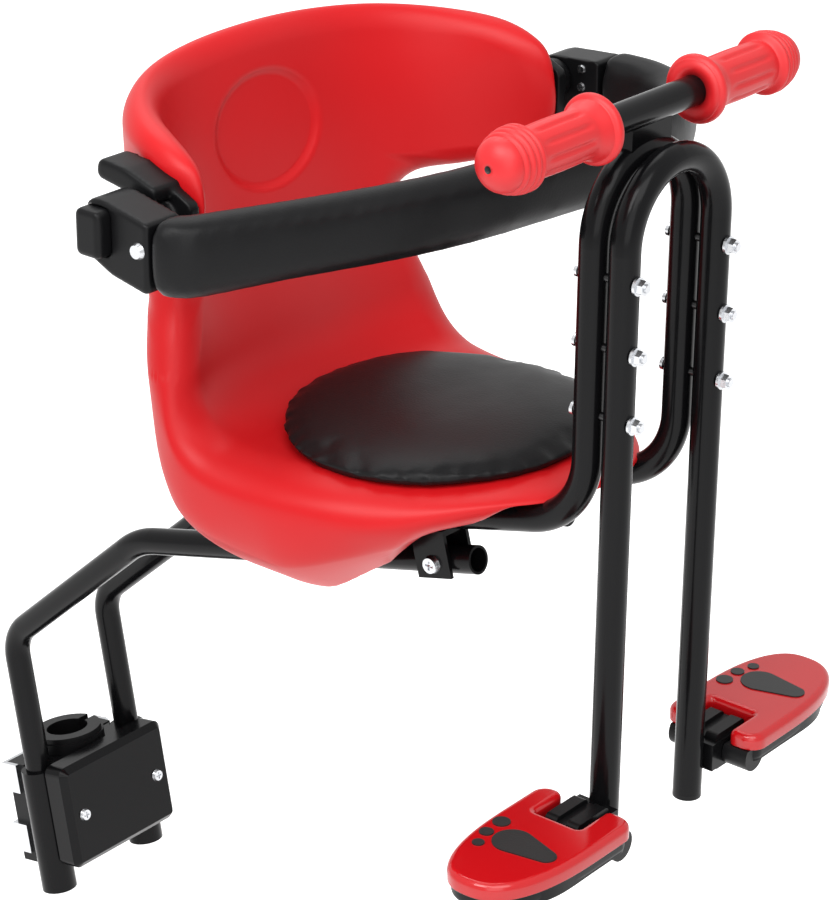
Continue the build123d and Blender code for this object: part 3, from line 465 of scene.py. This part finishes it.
def puff(item, voxel, pressure, cap):
    """The points of a closed mesh blown up as cloth, each kept within cap of where it began."""
    pick(item)
    even = item.modifiers.new("even", "REMESH")
    even.mode = "VOXEL"
    even.voxel_size = voxel
    bpy.ops.object.modifier_apply(modifier=even.name)
    count = len(item.data.vertices)
    start = np.empty(count * 3)
    item.data.vertices.foreach_get("co", start)
    cloth = item.modifiers.new("cloth", "CLOTH")
    cloth.settings.use_pressure = True
    cloth.settings.uniform_pressure_force = pressure
    cloth.settings.effector_weights.gravity = 0
    scene = bpy.context.scene
    for number in range(1, CLOTH_FRAMES + 1):
        scene.frame_set(number)
    shaped = item.evaluated_get(bpy.context.evaluated_depsgraph_get())
    end = np.empty(count * 3)
    shaped.data.vertices.foreach_get("co", end)
    item.modifiers.remove(cloth)
    scene.frame_set(1)
    start = start.reshape(-1, 3)
    move = end.reshape(-1, 3) - start
    length = np.linalg.norm(move, axis=1, keepdims=True)
    return start + move * np.minimum(1, cap / np.clip(length, 1e-9, None))


def settle(item, points):
    """Give a piece its points, smooth its shading and subdivide it once."""
    item.data.vertices.foreach_set("co", points.ravel())
    item.data.polygons.foreach_set("use_smooth", np.ones(len(item.data.polygons), bool))
    item.data.update()
    finer = item.modifiers.new("finer", "SUBSURF")
    finer.levels = 1
    finer.render_levels = 1


def make_cushion():
    """A round pad: a low dome over a seam and a flat base, with its rim gathered in short folds.

    The dome falls by a power of the distance from the middle, and the folds are two sine waves round
    the rim, whose spacing swings slowly.
    """
    angle = np.linspace(0, 2 * pi, CUSHION_TURNS, endpoint=False)
    ring = np.linspace(0, 1, CUSHION_RINGS)
    dome = CUSHION_SEAM + (CUSHION_CROWN - CUSHION_SEAM) * (1 - ring**CUSHION_POWER)
    floor = CUSHION_SEAM * smooth(*CUSHION_UNDER, ring) ** 2
    radius = np.concatenate([ring, ring[-2::-1]])[:, None]
    height = np.concatenate([dome, floor[-2::-1]])[:, None]
    across = CUSHION_HALF[0] * radius * np.cos(angle)
    along = CUSHION_HALF[1] * radius * np.sin(angle)
    tilt = CUSHION_REAR_LIFT * smooth(0, CUSHION_HALF[1], along)
    points = np.stack([across, along, height + tilt + CUSHION_LIFT - CUSHION_FALL * along], -1)
    item = weld(grid_mesh("cushion", points * MM + SEAT_AT, close_columns=True))
    local = (puff(item, *CUSHION_PUFF) - SEAT_AT) / MM
    reach = np.hypot(local[:, 0] / CUSHION_HALF[0], local[:, 1] / CUSHION_HALF[1])
    turn = np.arctan2(local[:, 1], local[:, 0])
    rim = smooth(*FOLD_RIM, reach)
    folds = sum(
        high * np.sin(number * turn + swing * np.sin(slow * turn)) for high, number, swing, slow in FOLDS
    )
    base = CUSHION_LIFT - CUSHION_FALL * local[:, 1]
    lift = local[:, 2] - base
    local[:, 2] = base + np.clip(lift + FOLD_HIGH * folds * rim * smooth(*FOLD_LIFT, lift), LEAST_LIFT, None)
    local[:, :2] *= (1 + FOLD_OUT * folds * rim)[:, None]
    settle(item, local * MM + SEAT_AT)
    return item


def filleted(points, radii, spacing):
    """Evenly spaced points along a polyline whose inner corners are rounded by arcs."""
    steps = 40
    points = np.array(points, float)
    path = [points[0]]
    for corner, before, after, radius in zip(points[1:-1], points[:-2], points[2:], radii):
        came = (corner - before) / np.linalg.norm(corner - before)
        goes = (after - corner) / np.linalg.norm(after - corner)
        half = np.arccos(np.clip(came @ goes, -1, 1)) / 2
        inward = goes - came
        middle = corner + inward / np.linalg.norm(inward) * radius / cos(half)
        arm = corner - came * radius * np.tan(half) - middle
        step = np.linspace(0, 2 * half, steps)[:, None]
        path.extend(middle + arm * np.cos(step) + came * radius * np.sin(step))
    path.append(points[-1])
    path = np.array(path)
    length = np.concatenate([[0], np.cumsum(np.linalg.norm(np.diff(path, axis=0), axis=1))])
    even = np.linspace(0, length[-1], int(length[-1] / spacing))
    return np.stack([np.interp(even, length, path[:, k]) for k in range(path.shape[1])], -1)


def make_guard():
    """The padded loop: a rounded rectangle carried along the guard's bent line, with drawn-in ends.

    The section's width and height are powers of the cosine and sine of an angle round the line.
    """
    path = filleted([(x * GUARD_HALF, y) for x, y in GUARD_PATH], GUARD_BENDS, GUARD_STEP)
    ahead = np.gradient(path, axis=0)
    ahead /= np.linalg.norm(ahead, axis=1, keepdims=True)
    side = np.stack([-ahead[:, 1], ahead[:, 0]], -1)
    angle = np.linspace(0, 2 * pi, GUARD_AROUND, endpoint=False)
    wide = np.sign(np.cos(angle)) * np.abs(np.cos(angle)) ** GUARD_POWER
    tall = np.sign(np.sin(angle)) * np.abs(np.sin(angle)) ** GUARD_POWER
    run = np.arange(len(path)) * GUARD_STEP
    from_end = np.minimum(run, run[::-1])
    least, gain, over = GUARD_DRAW
    draw = least + gain * np.sqrt(np.clip(1 - (1 - np.clip(from_end / over, 0, 1)) ** 2, 0, 1))
    flat = path[:, None] + side[:, None] * (GUARD_SECTION[0] * draw[:, None] * wide)[..., None]
    height = GUARD_HIGH + GUARD_SECTION[1] * draw[:, None] * tall
    loop = np.concatenate([flat, height[..., None]], -1)
    caps = [loop[:1] * t + loop[:1].mean(1, keepdims=True) * (1 - t) for t in GUARD_CAP]
    tails = [loop[-1:] * t + loop[-1:].mean(1, keepdims=True) * (1 - t) for t in GUARD_CAP[::-1]]
    points = np.vstack(caps + [loop] + tails)
    item = weld(grid_mesh("guard_cover", points * MM + SEAT_AT, close_columns=True))
    shaped = puff(item, *GUARD_PUFF)
    shaped[:, 1] = np.minimum(shaped[:, 1], SEAT_Y + (GUARD_END - GUARD_GAP) * MM)
    settle(item, shaped)
    return item


cushion = make_cushion()
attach(cushion, "base")
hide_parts("seat_cushion")
guard = make_guard()
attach(guard, "guard")
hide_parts("guard_pad")

# Grips, as length from the flange and radius
GRIP_START = 46.0
GRIP_LONG = 97.0
BORE = 9.03
BORE_LONG = 91.1
FLANGE = 20.5
FLANGE_LONG = 8.0
FLANGE_POWER = 2.4
BODY = 14.4
BODY_START = 10.0
BODY_SWELL = 0.7
NECK_SWELL = 3.6
NECK_SPAN = (18, 5)
BULB = 19.0
BULB_START = 69.0
BULB_RISE = (BULB_START - 2, BULB_START + 1.5)
RIB_PITCH = 4.1
RIB_DEEP = 2.6
RIB_POWER = 0.4
RIB_SPAN = (BULB_START + 1, BULB_START + 3)
DOME = 15.6
DOME_START = BULB_START + 4 * RIB_PITCH
CROWN_FALL = 2.2
CROWN_SPAN = (BULB_START + 6, DOME_START + 1)
FLUTES = 10
FLUTE_DEEP = 1.5
FLUTE_POWER = 1.5
FLUTE_START = (17, 27)
FLUTE_END = (BULB_START - 4, BULB_START - 14)
VENT = 2.2
VENT_DEEP = 4.0
GRIP_ROWS = 260
GRIP_AROUND = 120


def make_grip(name, side):
    """A turned rubber grip: a flange, a body, a ribbed bulb and a dome with a vent.

    The radius is a function of the length. The flutes are cut out of it by a power of the cosine of a
    multiple of the angle, and fade at both ends of the body.
    """
    s = np.linspace(0.0, GRIP_LONG, GRIP_ROWS)
    edge = np.clip(np.abs(s - FLANGE_LONG / 2) / (FLANGE_LONG / 2), 0, 1)
    flange = BODY + (FLANGE - BODY) * np.sqrt(1 - edge**FLANGE_POWER)
    neck = BODY + NECK_SWELL * smooth(*NECK_SPAN, s)
    part_way = np.clip((s - BODY_START) / (BULB_START - BODY_START), 0, 1)
    body = neck + BODY_SWELL * np.sin(pi * part_way)
    radius = np.where(s < FLANGE_LONG, np.maximum(flange, neck), body)
    crown = BULB - CROWN_FALL * smooth(*CROWN_SPAN, s)
    rib = np.abs(np.sin(pi * (s - BULB_START) / RIB_PITCH))
    ribs = RIB_DEEP * (1 - rib**RIB_POWER) * smooth(*RIB_SPAN, s)
    radius = radius + smooth(*BULB_RISE, s) * (crown - radius) - ribs
    cap = np.sqrt(np.clip(1 - ((s - DOME_START) / (GRIP_LONG - DOME_START)) ** 2, 0, 1))
    radius = np.where(s > DOME_START, np.maximum(DOME * cap, VENT), radius)
    angle = np.linspace(0, 2 * pi, GRIP_AROUND, endpoint=False)
    fade = smooth(*FLUTE_START, s) * smooth(*FLUTE_END, s)
    groove = np.clip(np.cos(FLUTES * angle), 0, 1) ** FLUTE_POWER
    skin = radius[:, None] - FLUTE_DEEP * fade[:, None] * groove
    bore_s = np.array([BORE_LONG, BORE_LONG, 0.0])
    bore_r = np.array([0.0, BORE, BORE])
    vent_s = np.full(2, GRIP_LONG - VENT_DEEP)
    vent_r = np.array([VENT, 0.0])
    around = np.ones_like(angle)
    length = np.concatenate([bore_s, s, vent_s])[:, None] * around
    ring = np.vstack([bore_r[:, None] * around, skin, vent_r[:, None] * around])
    points = np.stack([side * (GRIP_START + length), ring * np.cos(angle), ring * np.sin(angle)], -1)
    item = weld(grid_mesh(name, points * MM + BAR_AT, close_columns=True))
    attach(item, "base")
    return item


grips = []
for side_name, side in SIDES:
    grips.append(make_grip(f"grip_skin_{side_name}", side))
    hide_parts(f"grip_{side_name}")

# Foot rests, as distance out from the middle, distance back from the leg, and height
TREAD_INNER = 63.0
TREAD_OUTER = 180.0
TREAD_SHOULDER = 100.0
TREAD_FRONT = -37.0
TREAD_REAR = 33.0
TREAD_POWER = 2.5
TREAD_THICK = 10.0
SOLE_THICK = 9.4
NOTCH_HALF = 16.0
NOTCH_OUTER = 92.0
HINGE_FILLETS = (11, 5, 2, 2, 5, 11)
OUTLINE_STEP = 1.0
OUTLINE_ARC = 60
EDGE_STEPS = 9
# Radius of the upper edge and of the lower one
TREAD_ROUNDS = (4.5, 0.6)
SOLE_ROUNDS = (0.4, 4.0)
SOLE_INSET = 2.4
TREAD_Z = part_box("pedal_top_right")[1].z


def tread_outline(inset):
    """Closed outline of a foot rest, drawn in by inset.

    Its outer end is a superellipse, and its end at the hinge is straight with a notch.
    """
    t = np.linspace(0, pi / 2, OUTLINE_ARC)
    long = (TREAD_OUTER - TREAD_SHOULDER) * np.cos(t) ** (2 / TREAD_POWER)
    wide = np.sin(t) ** (2 / TREAD_POWER)
    front = np.stack([TREAD_SHOULDER + long, TREAD_FRONT * wide], -1)
    rear = np.stack([TREAD_SHOULDER + long, TREAD_REAR * wide], -1)[::-1]
    inner = filleted(
        [(TREAD_SHOULDER, TREAD_FRONT), (TREAD_INNER, TREAD_FRONT), (TREAD_INNER, -NOTCH_HALF),
         (NOTCH_OUTER, -NOTCH_HALF), (NOTCH_OUTER, NOTCH_HALF), (TREAD_INNER, NOTCH_HALF),
         (TREAD_INNER, TREAD_REAR), (TREAD_SHOULDER, TREAD_REAR)],
        HINGE_FILLETS, OUTLINE_STEP,
    )
    ring = np.vstack([front[:-1], inner, rear[1:-1]])
    ahead = np.roll(ring, -1, 0) - np.roll(ring, 1, 0)
    ahead /= np.linalg.norm(ahead, axis=1, keepdims=True)
    return ring + inset * np.stack([ahead[:, 1], -ahead[:, 0]], -1)


def make_slab(name, side, inset, top, thick, rounds):
    """A flat piece on the foot rest's outline, with quarter round edges at the top and at the bottom.

    Each row is the outline, drawn in by one minus the sine of an angle and set at a height from its cosine.
    """
    top_round, low_round = rounds
    turn = np.linspace(0, pi / 2, EDGE_STEPS)
    draw = np.concatenate([low_round * (1 - np.sin(turn)), top_round * (1 - np.cos(turn))])
    high = np.concatenate([low_round * (1 - np.cos(turn)) - thick, top_round * (np.sin(turn) - 1)])
    rings = [tread_outline(inset + d) for d in draw]
    points = np.concatenate([np.array(rings), np.repeat(high[:, None, None], len(rings[0]), 1)], -1)
    points = points * MM * (side, 1, 1) + np.array([0, LEG_Y, top])
    item = grid_mesh(name, points, close_columns=True, caps=True)
    solid = bmesh.new()
    solid.from_mesh(item.data)
    bmesh.ops.recalc_face_normals(solid, faces=solid.faces)
    solid.to_mesh(item.data)
    solid.free()
    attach(item, f"footrest_{name.rsplit('_', 1)[1]}")
    return item


treads = []
soles = []
for side_name, side in SIDES:
    treads.append(make_slab(f"tread_{side_name}", side, 0, TREAD_Z, TREAD_THICK, TREAD_ROUNDS))
    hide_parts(f"pedal_top_{side_name}")
    sole_top = TREAD_Z - TREAD_THICK * MM
    soles.append(make_slab(f"sole_{side_name}", side, SOLE_INSET, sole_top, SOLE_THICK, SOLE_ROUNDS))


# Materials
SKIN_VALUES = [
    ("Colour", "NodeSocketColor"),
    ("Roughness", "NodeSocketFloat"),
    ("Normal", "NodeSocketVector"),
]
MOTTLE_SCALE = 14
MOTTLE_DETAIL = 3
GRAIN_DETAIL = 2
CREASE_SCALE = 45
CREASE_DETAIL = 5
CREASE_TINT = (0.85, 1.2)
FINE_BUMP = 0.0004
CREASE_BUMP = 0.002


def calculate(tree, operation, *terms):
    """The result of a math node whose terms are sockets or plain numbers."""
    node = tree.nodes.new("ShaderNodeMath")
    node.operation = operation
    for socket, term in zip(node.inputs, terms):
        if isinstance(term, bpy.types.NodeSocket):
            tree.links.new(term, socket)
        else:
            socket.default_value = term
    return node.outputs[0]


def value_group(name, inputs, outputs):
    """An empty node group with named sockets: inputs as name, kind, default, and outputs as name, kind."""
    group = bpy.data.node_groups.new(name, "ShaderNodeTree")
    for label, kind, default in inputs:
        socket = group.interface.new_socket(label, in_out="INPUT", socket_type=kind)
        socket.default_value = default
    for label, kind in outputs:
        group.interface.new_socket(label, in_out="OUTPUT", socket_type=kind)
    return group, group.nodes.new("NodeGroupInput"), group.nodes.new("NodeGroupOutput")


def moulding_group():
    """Colour, roughness and normal of a moulded skin: slow mottling, fine grain and soft ripples."""
    group, source, sink = value_group(
        "moulded_skin",
        [
            ("Colour", "NodeSocketColor", (0.5, 0.5, 0.5, 1)),
            ("Mottle", "NodeSocketFloat", 0.05),
            ("Grain Scale", "NodeSocketFloat", 900.0),
            ("Grain Height", "NodeSocketFloat", 0.1),
            ("Roughness", "NodeSocketFloat", 0.4),
        ],
        SKIN_VALUES,
    )
    make = group.nodes.new
    link = group.links.new
    place = make("ShaderNodeTexCoord")
    slow = make("ShaderNodeTexNoise")
    slow.inputs["Scale"].default_value = MOTTLE_SCALE
    slow.inputs["Detail"].default_value = MOTTLE_DETAIL
    link(place.outputs["Object"], slow.inputs["Vector"])
    centred = calculate(group, "SUBTRACT", slow.outputs["Fac"], 0.5)
    swing = calculate(group, "MULTIPLY_ADD", centred, source.outputs["Mottle"], 1.0)
    tint = make("ShaderNodeHueSaturation")
    link(source.outputs["Colour"], tint.inputs["Color"])
    link(swing, tint.inputs["Value"])
    link(tint.outputs["Color"], sink.inputs["Colour"])
    rough = calculate(group, "MULTIPLY", source.outputs["Roughness"], swing)
    link(rough, sink.inputs["Roughness"])
    grain = make("ShaderNodeTexNoise")
    grain.inputs["Detail"].default_value = GRAIN_DETAIL
    link(place.outputs["Object"], grain.inputs["Vector"])
    link(source.outputs["Grain Scale"], grain.inputs["Scale"])
    bump = make("ShaderNodeBump")
    bump.inputs["Distance"].default_value = FINE_BUMP
    link(source.outputs["Grain Height"], bump.inputs["Strength"])
    link(grain.outputs["Fac"], bump.inputs["Height"])
    link(bump.outputs["Normal"], sink.inputs["Normal"])
    return group


def hide_group():
    """Colour, roughness and normal of a coated cover: pebbled cells with slow soft creases over them."""
    group, source, sink = value_group(
        "pebbled_hide",
        [
            ("Colour", "NodeSocketColor", (0.02, 0.02, 0.02, 1)),
            ("Pebble Scale", "NodeSocketFloat", 500.0),
            ("Pebble Height", "NodeSocketFloat", 0.2),
            ("Crease Height", "NodeSocketFloat", 0.2),
            ("Roughness", "NodeSocketFloat", 0.4),
        ],
        SKIN_VALUES,
    )
    make = group.nodes.new
    link = group.links.new
    place = make("ShaderNodeTexCoord")
    cells = make("ShaderNodeTexVoronoi")
    link(place.outputs["Object"], cells.inputs["Vector"])
    link(source.outputs["Pebble Scale"], cells.inputs["Scale"])
    creases = make("ShaderNodeTexNoise")
    creases.inputs["Scale"].default_value = CREASE_SCALE
    creases.inputs["Detail"].default_value = CREASE_DETAIL
    link(place.outputs["Object"], creases.inputs["Vector"])
    low = make("ShaderNodeBump")
    low.inputs["Distance"].default_value = CREASE_BUMP
    link(source.outputs["Crease Height"], low.inputs["Strength"])
    link(creases.outputs["Fac"], low.inputs["Height"])
    fine = make("ShaderNodeBump")
    fine.inputs["Distance"].default_value = FINE_BUMP
    fine.invert = True
    link(source.outputs["Pebble Height"], fine.inputs["Strength"])
    link(cells.outputs["Distance"], fine.inputs["Height"])
    link(low.outputs["Normal"], fine.inputs["Normal"])
    link(fine.outputs["Normal"], sink.inputs["Normal"])
    span = make("ShaderNodeMapRange")
    span.inputs["To Min"].default_value, span.inputs["To Max"].default_value = CREASE_TINT
    link(creases.outputs["Fac"], span.inputs["Value"])
    tint = make("ShaderNodeHueSaturation")
    link(source.outputs["Colour"], tint.inputs["Color"])
    link(span.outputs["Result"], tint.inputs["Value"])
    link(tint.outputs["Color"], sink.inputs["Colour"])
    rough = calculate(group, "MULTIPLY", source.outputs["Roughness"], span.outputs["Result"])
    link(rough, sink.inputs["Roughness"])
    return group


MOULDING = moulding_group()
HIDE = hide_group()


def finish(name, group, sockets, **shader):
    """A material: one Principled shader fed by a value group, with fixed values set on their sockets."""
    material = bpy.data.materials.new(name)
    material.use_nodes = True
    tree = material.node_tree
    principled = tree.nodes["Principled BSDF"]
    skin = tree.nodes.new("ShaderNodeGroup")
    skin.node_tree = group
    for label, value in sockets.items():
        skin.inputs[label].default_value = value
    tree.links.new(skin.outputs["Colour"], principled.inputs["Base Color"])
    tree.links.new(skin.outputs["Roughness"], principled.inputs["Roughness"])
    tree.links.new(skin.outputs["Normal"], principled.inputs["Normal"])
    for label, value in shader.items():
        principled.inputs[label.replace("_", " ")].default_value = value
    return material


def moulded(name, colour, mottle, grain, height, rough, **shader):
    """A finish of the moulded skin, with its grain given as scale and height."""
    sockets = {"Colour": colour, "Mottle": mottle, "Grain Scale": grain, "Grain Height": height}
    return finish(name, MOULDING, sockets | {"Roughness": rough}, **shader)


RED = (0.57, 0.006, 0.009, 1)
TREAD_RED = (0.52, 0.006, 0.009, 1)
GRIP_RED = (0.62, 0.012, 0.016, 1)
BLACK = (0.0045, 0.0045, 0.005, 1)
PAINT_BLACK = (0.004, 0.004, 0.0045, 1)
RUBBER_BLACK = (0.008, 0.008, 0.008, 1)
COVER_BLACK = (0.007, 0.007, 0.0075, 1)
ZINC_GREY = (0.60, 0.61, 0.63, 1)
ZINC_SKIN = {"mottle": 0.25, "grain": 500, "height": 0.1, "rough": 0.26, "Metallic": 1.0}
red_shell = moulded(
    "red moulded foam", RED, mottle=0.06, grain=1200, height=0.06, rough=0.42, Specular_IOR_Level=0.28
)
red_tread = moulded("red tread", TREAD_RED, mottle=0.08, grain=700, height=0.03, rough=0.14)
red_grip = moulded("red grip rubber", GRIP_RED, mottle=0.1, grain=1500, height=0.12, rough=0.45)
black_plastic = moulded(
    "black moulded plastic", BLACK, mottle=0.15, grain=1600, height=0.12, rough=0.38, Specular_IOR_Level=0.15
)
black_paint = moulded(
    "black gloss paint", PAINT_BLACK, mottle=0.1, grain=160, height=0.03, rough=0.2, Specular_IOR_Level=0.13
)
# Black rubber of the tread marks, also put in the grip vents as painted shade
rubber_black_and_vent_shade = moulded("black tread rubber", RUBBER_BLACK, mottle=0.1, grain=900, height=0.3, rough=0.55)
bolt_zinc = moulded("zinc heads with painted shade on shanks", ZINC_GREY, **ZINC_SKIN)
zinc = moulded("bright zinc", ZINC_GREY, **ZINC_SKIN)
cover = finish(
    "black padded cover",
    HIDE,
    {
        "Colour": COVER_BLACK,
        "Pebble Scale": 700,
        "Pebble Height": 0.12,
        "Crease Height": 0.05,
        "Roughness": 0.38,
    },
    Specular_IOR_Level=0.13,
)
# How far the painted shade (plain black) on a bolt's shank runs past the middle of each tube, in millimetres
SHANK_PAST = 9.3
# Faces of a grip that are its vent, coloured black as painted shade in the hole: this far past the vent's
# radius, and past the end of the bore
VENT_MARGIN = 0.02
VENT_PAST_BORE = 0.5


def paint_shank_shade(material, middle, half):
    """Paint shade on the bolts as plain black between the arches, where Y is within half of the middle."""
    tree = material.node_tree
    place = tree.nodes.new("ShaderNodeTexCoord")
    split = tree.nodes.new("ShaderNodeSeparateXYZ")
    tree.links.new(place.outputs["Object"], split.inputs["Vector"])
    apart = calculate(tree, "ABSOLUTE", calculate(tree, "SUBTRACT", split.outputs["Y"], middle))
    bare = calculate(tree, "GREATER_THAN", apart, half)
    mix = tree.nodes.new("ShaderNodeMix")
    mix.data_type = "RGBA"
    tree.links.new(bare, mix.inputs["Factor"])
    principled = tree.nodes["Principled BSDF"]
    skin = principled.inputs["Base Color"].links[0].from_socket
    # Painted shade: black on the zinc shanks between the arches
    mix.inputs["A"].default_value = BLACK
    tree.links.new(skin, mix.inputs["B"])
    tree.links.new(mix.outputs["Result"], principled.inputs["Base Color"])
    tree.links.new(bare, principled.inputs["Metallic"])


# The black on the bolts between the arches is painted shade, not the bolts' own colour
paint_shank_shade(bolt_zinc, (BAR_Y + LEG_Y) / 2, (BAR_Y - LEG_Y) / 2 + SHANK_PAST * MM)
SLOT_FINISH = {
    "red_shell": red_shell,
    "cushion_cover": cover,
    "guard_cover": cover,
    "black_paint": black_paint,
    "black_plastic": black_plastic,
    "zinc": zinc,
    "red_grip": red_grip,
    "red_tread": red_tread,
    "tread_marks": rubber_black_and_vent_shade,
}
shell.data.materials.append(red_shell)
cushion.data.materials.append(cover)
guard.data.materials.append(cover)
for item in grips:
    item.data.materials.append(red_grip)
    item.data.materials.append(rubber_black_and_vent_shade)
    centre = np.empty(len(item.data.polygons) * 3)
    item.data.polygons.foreach_get("center", centre)
    centre = centre.reshape(-1, 3) / MM
    # Painted shade: the vent's faces take the black rubber for the shade inside the hole
    inside = np.hypot(centre[:, 1] - BAR_Y / MM, centre[:, 2] - BAR_Z / MM) < VENT + VENT_MARGIN
    at_end = np.abs(centre[:, 0]) > GRIP_START + BORE_LONG + VENT_PAST_BORE
    item.data.polygons.foreach_set("material_index", (inside & at_end).astype(np.int32))
for item in treads:
    item.data.materials.append(red_tread)
for item in soles + brackets + housings:
    item.data.materials.clear()
    item.data.materials.append(black_plastic)
for part in frame["record"]["subparts"]:
    node = nodes[part["node"]]
    node.data.materials.clear()
    node.data.materials.append(SLOT_FINISH[part["material_slot"]])
nodes["arch_bolts"].data.materials.clear()
nodes["arch_bolts"].data.materials.append(bolt_zinc)

# Stage, light and camera
PHOTO_WIDE = 831
PHOTO_HIGH = 900
FOCAL_PX = 3051.0
SENSOR = 36.0
CAMERA_AT = (-1.3492, -1.4166, 1.1151)
CAMERA_AZIMUTH = radians(-50.81)
CAMERA_DROP = radians(23.70)
CAMERA_ROLL = radians(0.547)
FLOOR_Z = first_bounds[0][2] - 0.03
FLOOR_HALF = 12.0
FLOOR_GREY = (0.9, 0.9, 0.9, 1)
FLOOR_ROUGH = 0.9
FLOOR_GLOW = 0.75
WHITE = (1, 1, 1, 1)
WORLD_GLOW = 0.5
LAMPS_ROUND = (0, -0.25, 0.35)
# Azimuth and height in degrees, distance and size in metres, and power in watts
LAMPS = (
    ("key", -88, 50, 2.3, 1.1, 28),
    ("fill", -35, 52, 2.4, 1.4, 22),
    ("front", -48, 18, 2.6, 1.6, 14),
    ("back", 150, 62, 2.4, 1.6, 16),
)


def seen_only(tree, light, seen):
    """A value that is light for what falls on the object, and seen where the camera or a gloss sees it."""
    kind = tree.nodes.new("ShaderNodeLightPath")
    value = kind.outputs["Is Camera Ray"]
    for ray in ("Is Glossy Ray", "Is Transmission Ray"):
        value = calculate(tree, "MAXIMUM", value, kind.outputs[ray])
    span = tree.nodes.new("ShaderNodeMapRange")
    span.inputs["To Min"].default_value = light
    span.inputs["To Max"].default_value = seen
    tree.links.new(value, span.inputs["Value"])
    return span.outputs["Result"]


def make_stage():
    """A pale floor, four large soft lamps and a bright plain world."""
    ends = (-FLOOR_HALF, FLOOR_HALF)
    floor = grid_mesh("floor", np.array([[(x, y, FLOOR_Z) for x in ends] for y in ends]))
    paint = bpy.data.materials.new("pale floor")
    paint.use_nodes = True
    tree = paint.node_tree
    principled = tree.nodes["Principled BSDF"]
    principled.inputs["Base Color"].default_value = FLOOR_GREY
    principled.inputs["Roughness"].default_value = FLOOR_ROUGH
    principled.inputs["Emission Color"].default_value = WHITE
    tree.links.new(seen_only(tree, 0, FLOOR_GLOW), principled.inputs["Emission Strength"])
    floor.data.materials.append(paint)
    middle = Matrix.Translation(LAMPS_ROUND)
    for name, azimuth, height, away, size, power in LAMPS:
        light = bpy.data.lights.new(name, "AREA")
        light.energy = power
        light.size = size
        lamp = bpy.data.objects.new(name, light)
        turn = Matrix.Rotation(radians(azimuth), 4, "Z") @ Matrix.Rotation(radians(90 - height), 4, "X")
        lamp.matrix_world = middle @ turn @ Matrix.Translation((0, 0, away))
        bpy.context.scene.collection.objects.link(lamp)
    world = bpy.data.worlds.new("studio")
    world.use_nodes = True
    sky = world.node_tree.nodes["Background"]
    sky.inputs["Color"].default_value = WHITE
    world.node_tree.links.new(seen_only(world.node_tree, WORLD_GLOW, 1.0), sky.inputs["Strength"])
    bpy.context.scene.world = world


def make_camera():
    """The photograph's camera, from the perspective fit."""
    lens = bpy.data.cameras.new("camera")
    lens.sensor_fit = "VERTICAL"
    lens.sensor_height = SENSOR
    lens.lens = FOCAL_PX / PHOTO_HIGH * SENSOR
    camera = bpy.data.objects.new("camera", lens)
    camera.matrix_world = (
        Matrix.Translation(CAMERA_AT)
        @ Matrix.Rotation(CAMERA_AZIMUTH, 4, "Z")
        @ Matrix.Rotation(pi / 2 - CAMERA_DROP, 4, "X")
        @ Matrix.Rotation(CAMERA_ROLL, 4, "Z")
    )
    scene = bpy.context.scene
    scene.collection.objects.link(camera)
    scene.camera = camera
    scene.render.resolution_x = PHOTO_WIDE
    scene.render.resolution_y = PHOTO_HIGH
    scene.view_settings.view_transform = "Standard"


make_stage()
make_camera()
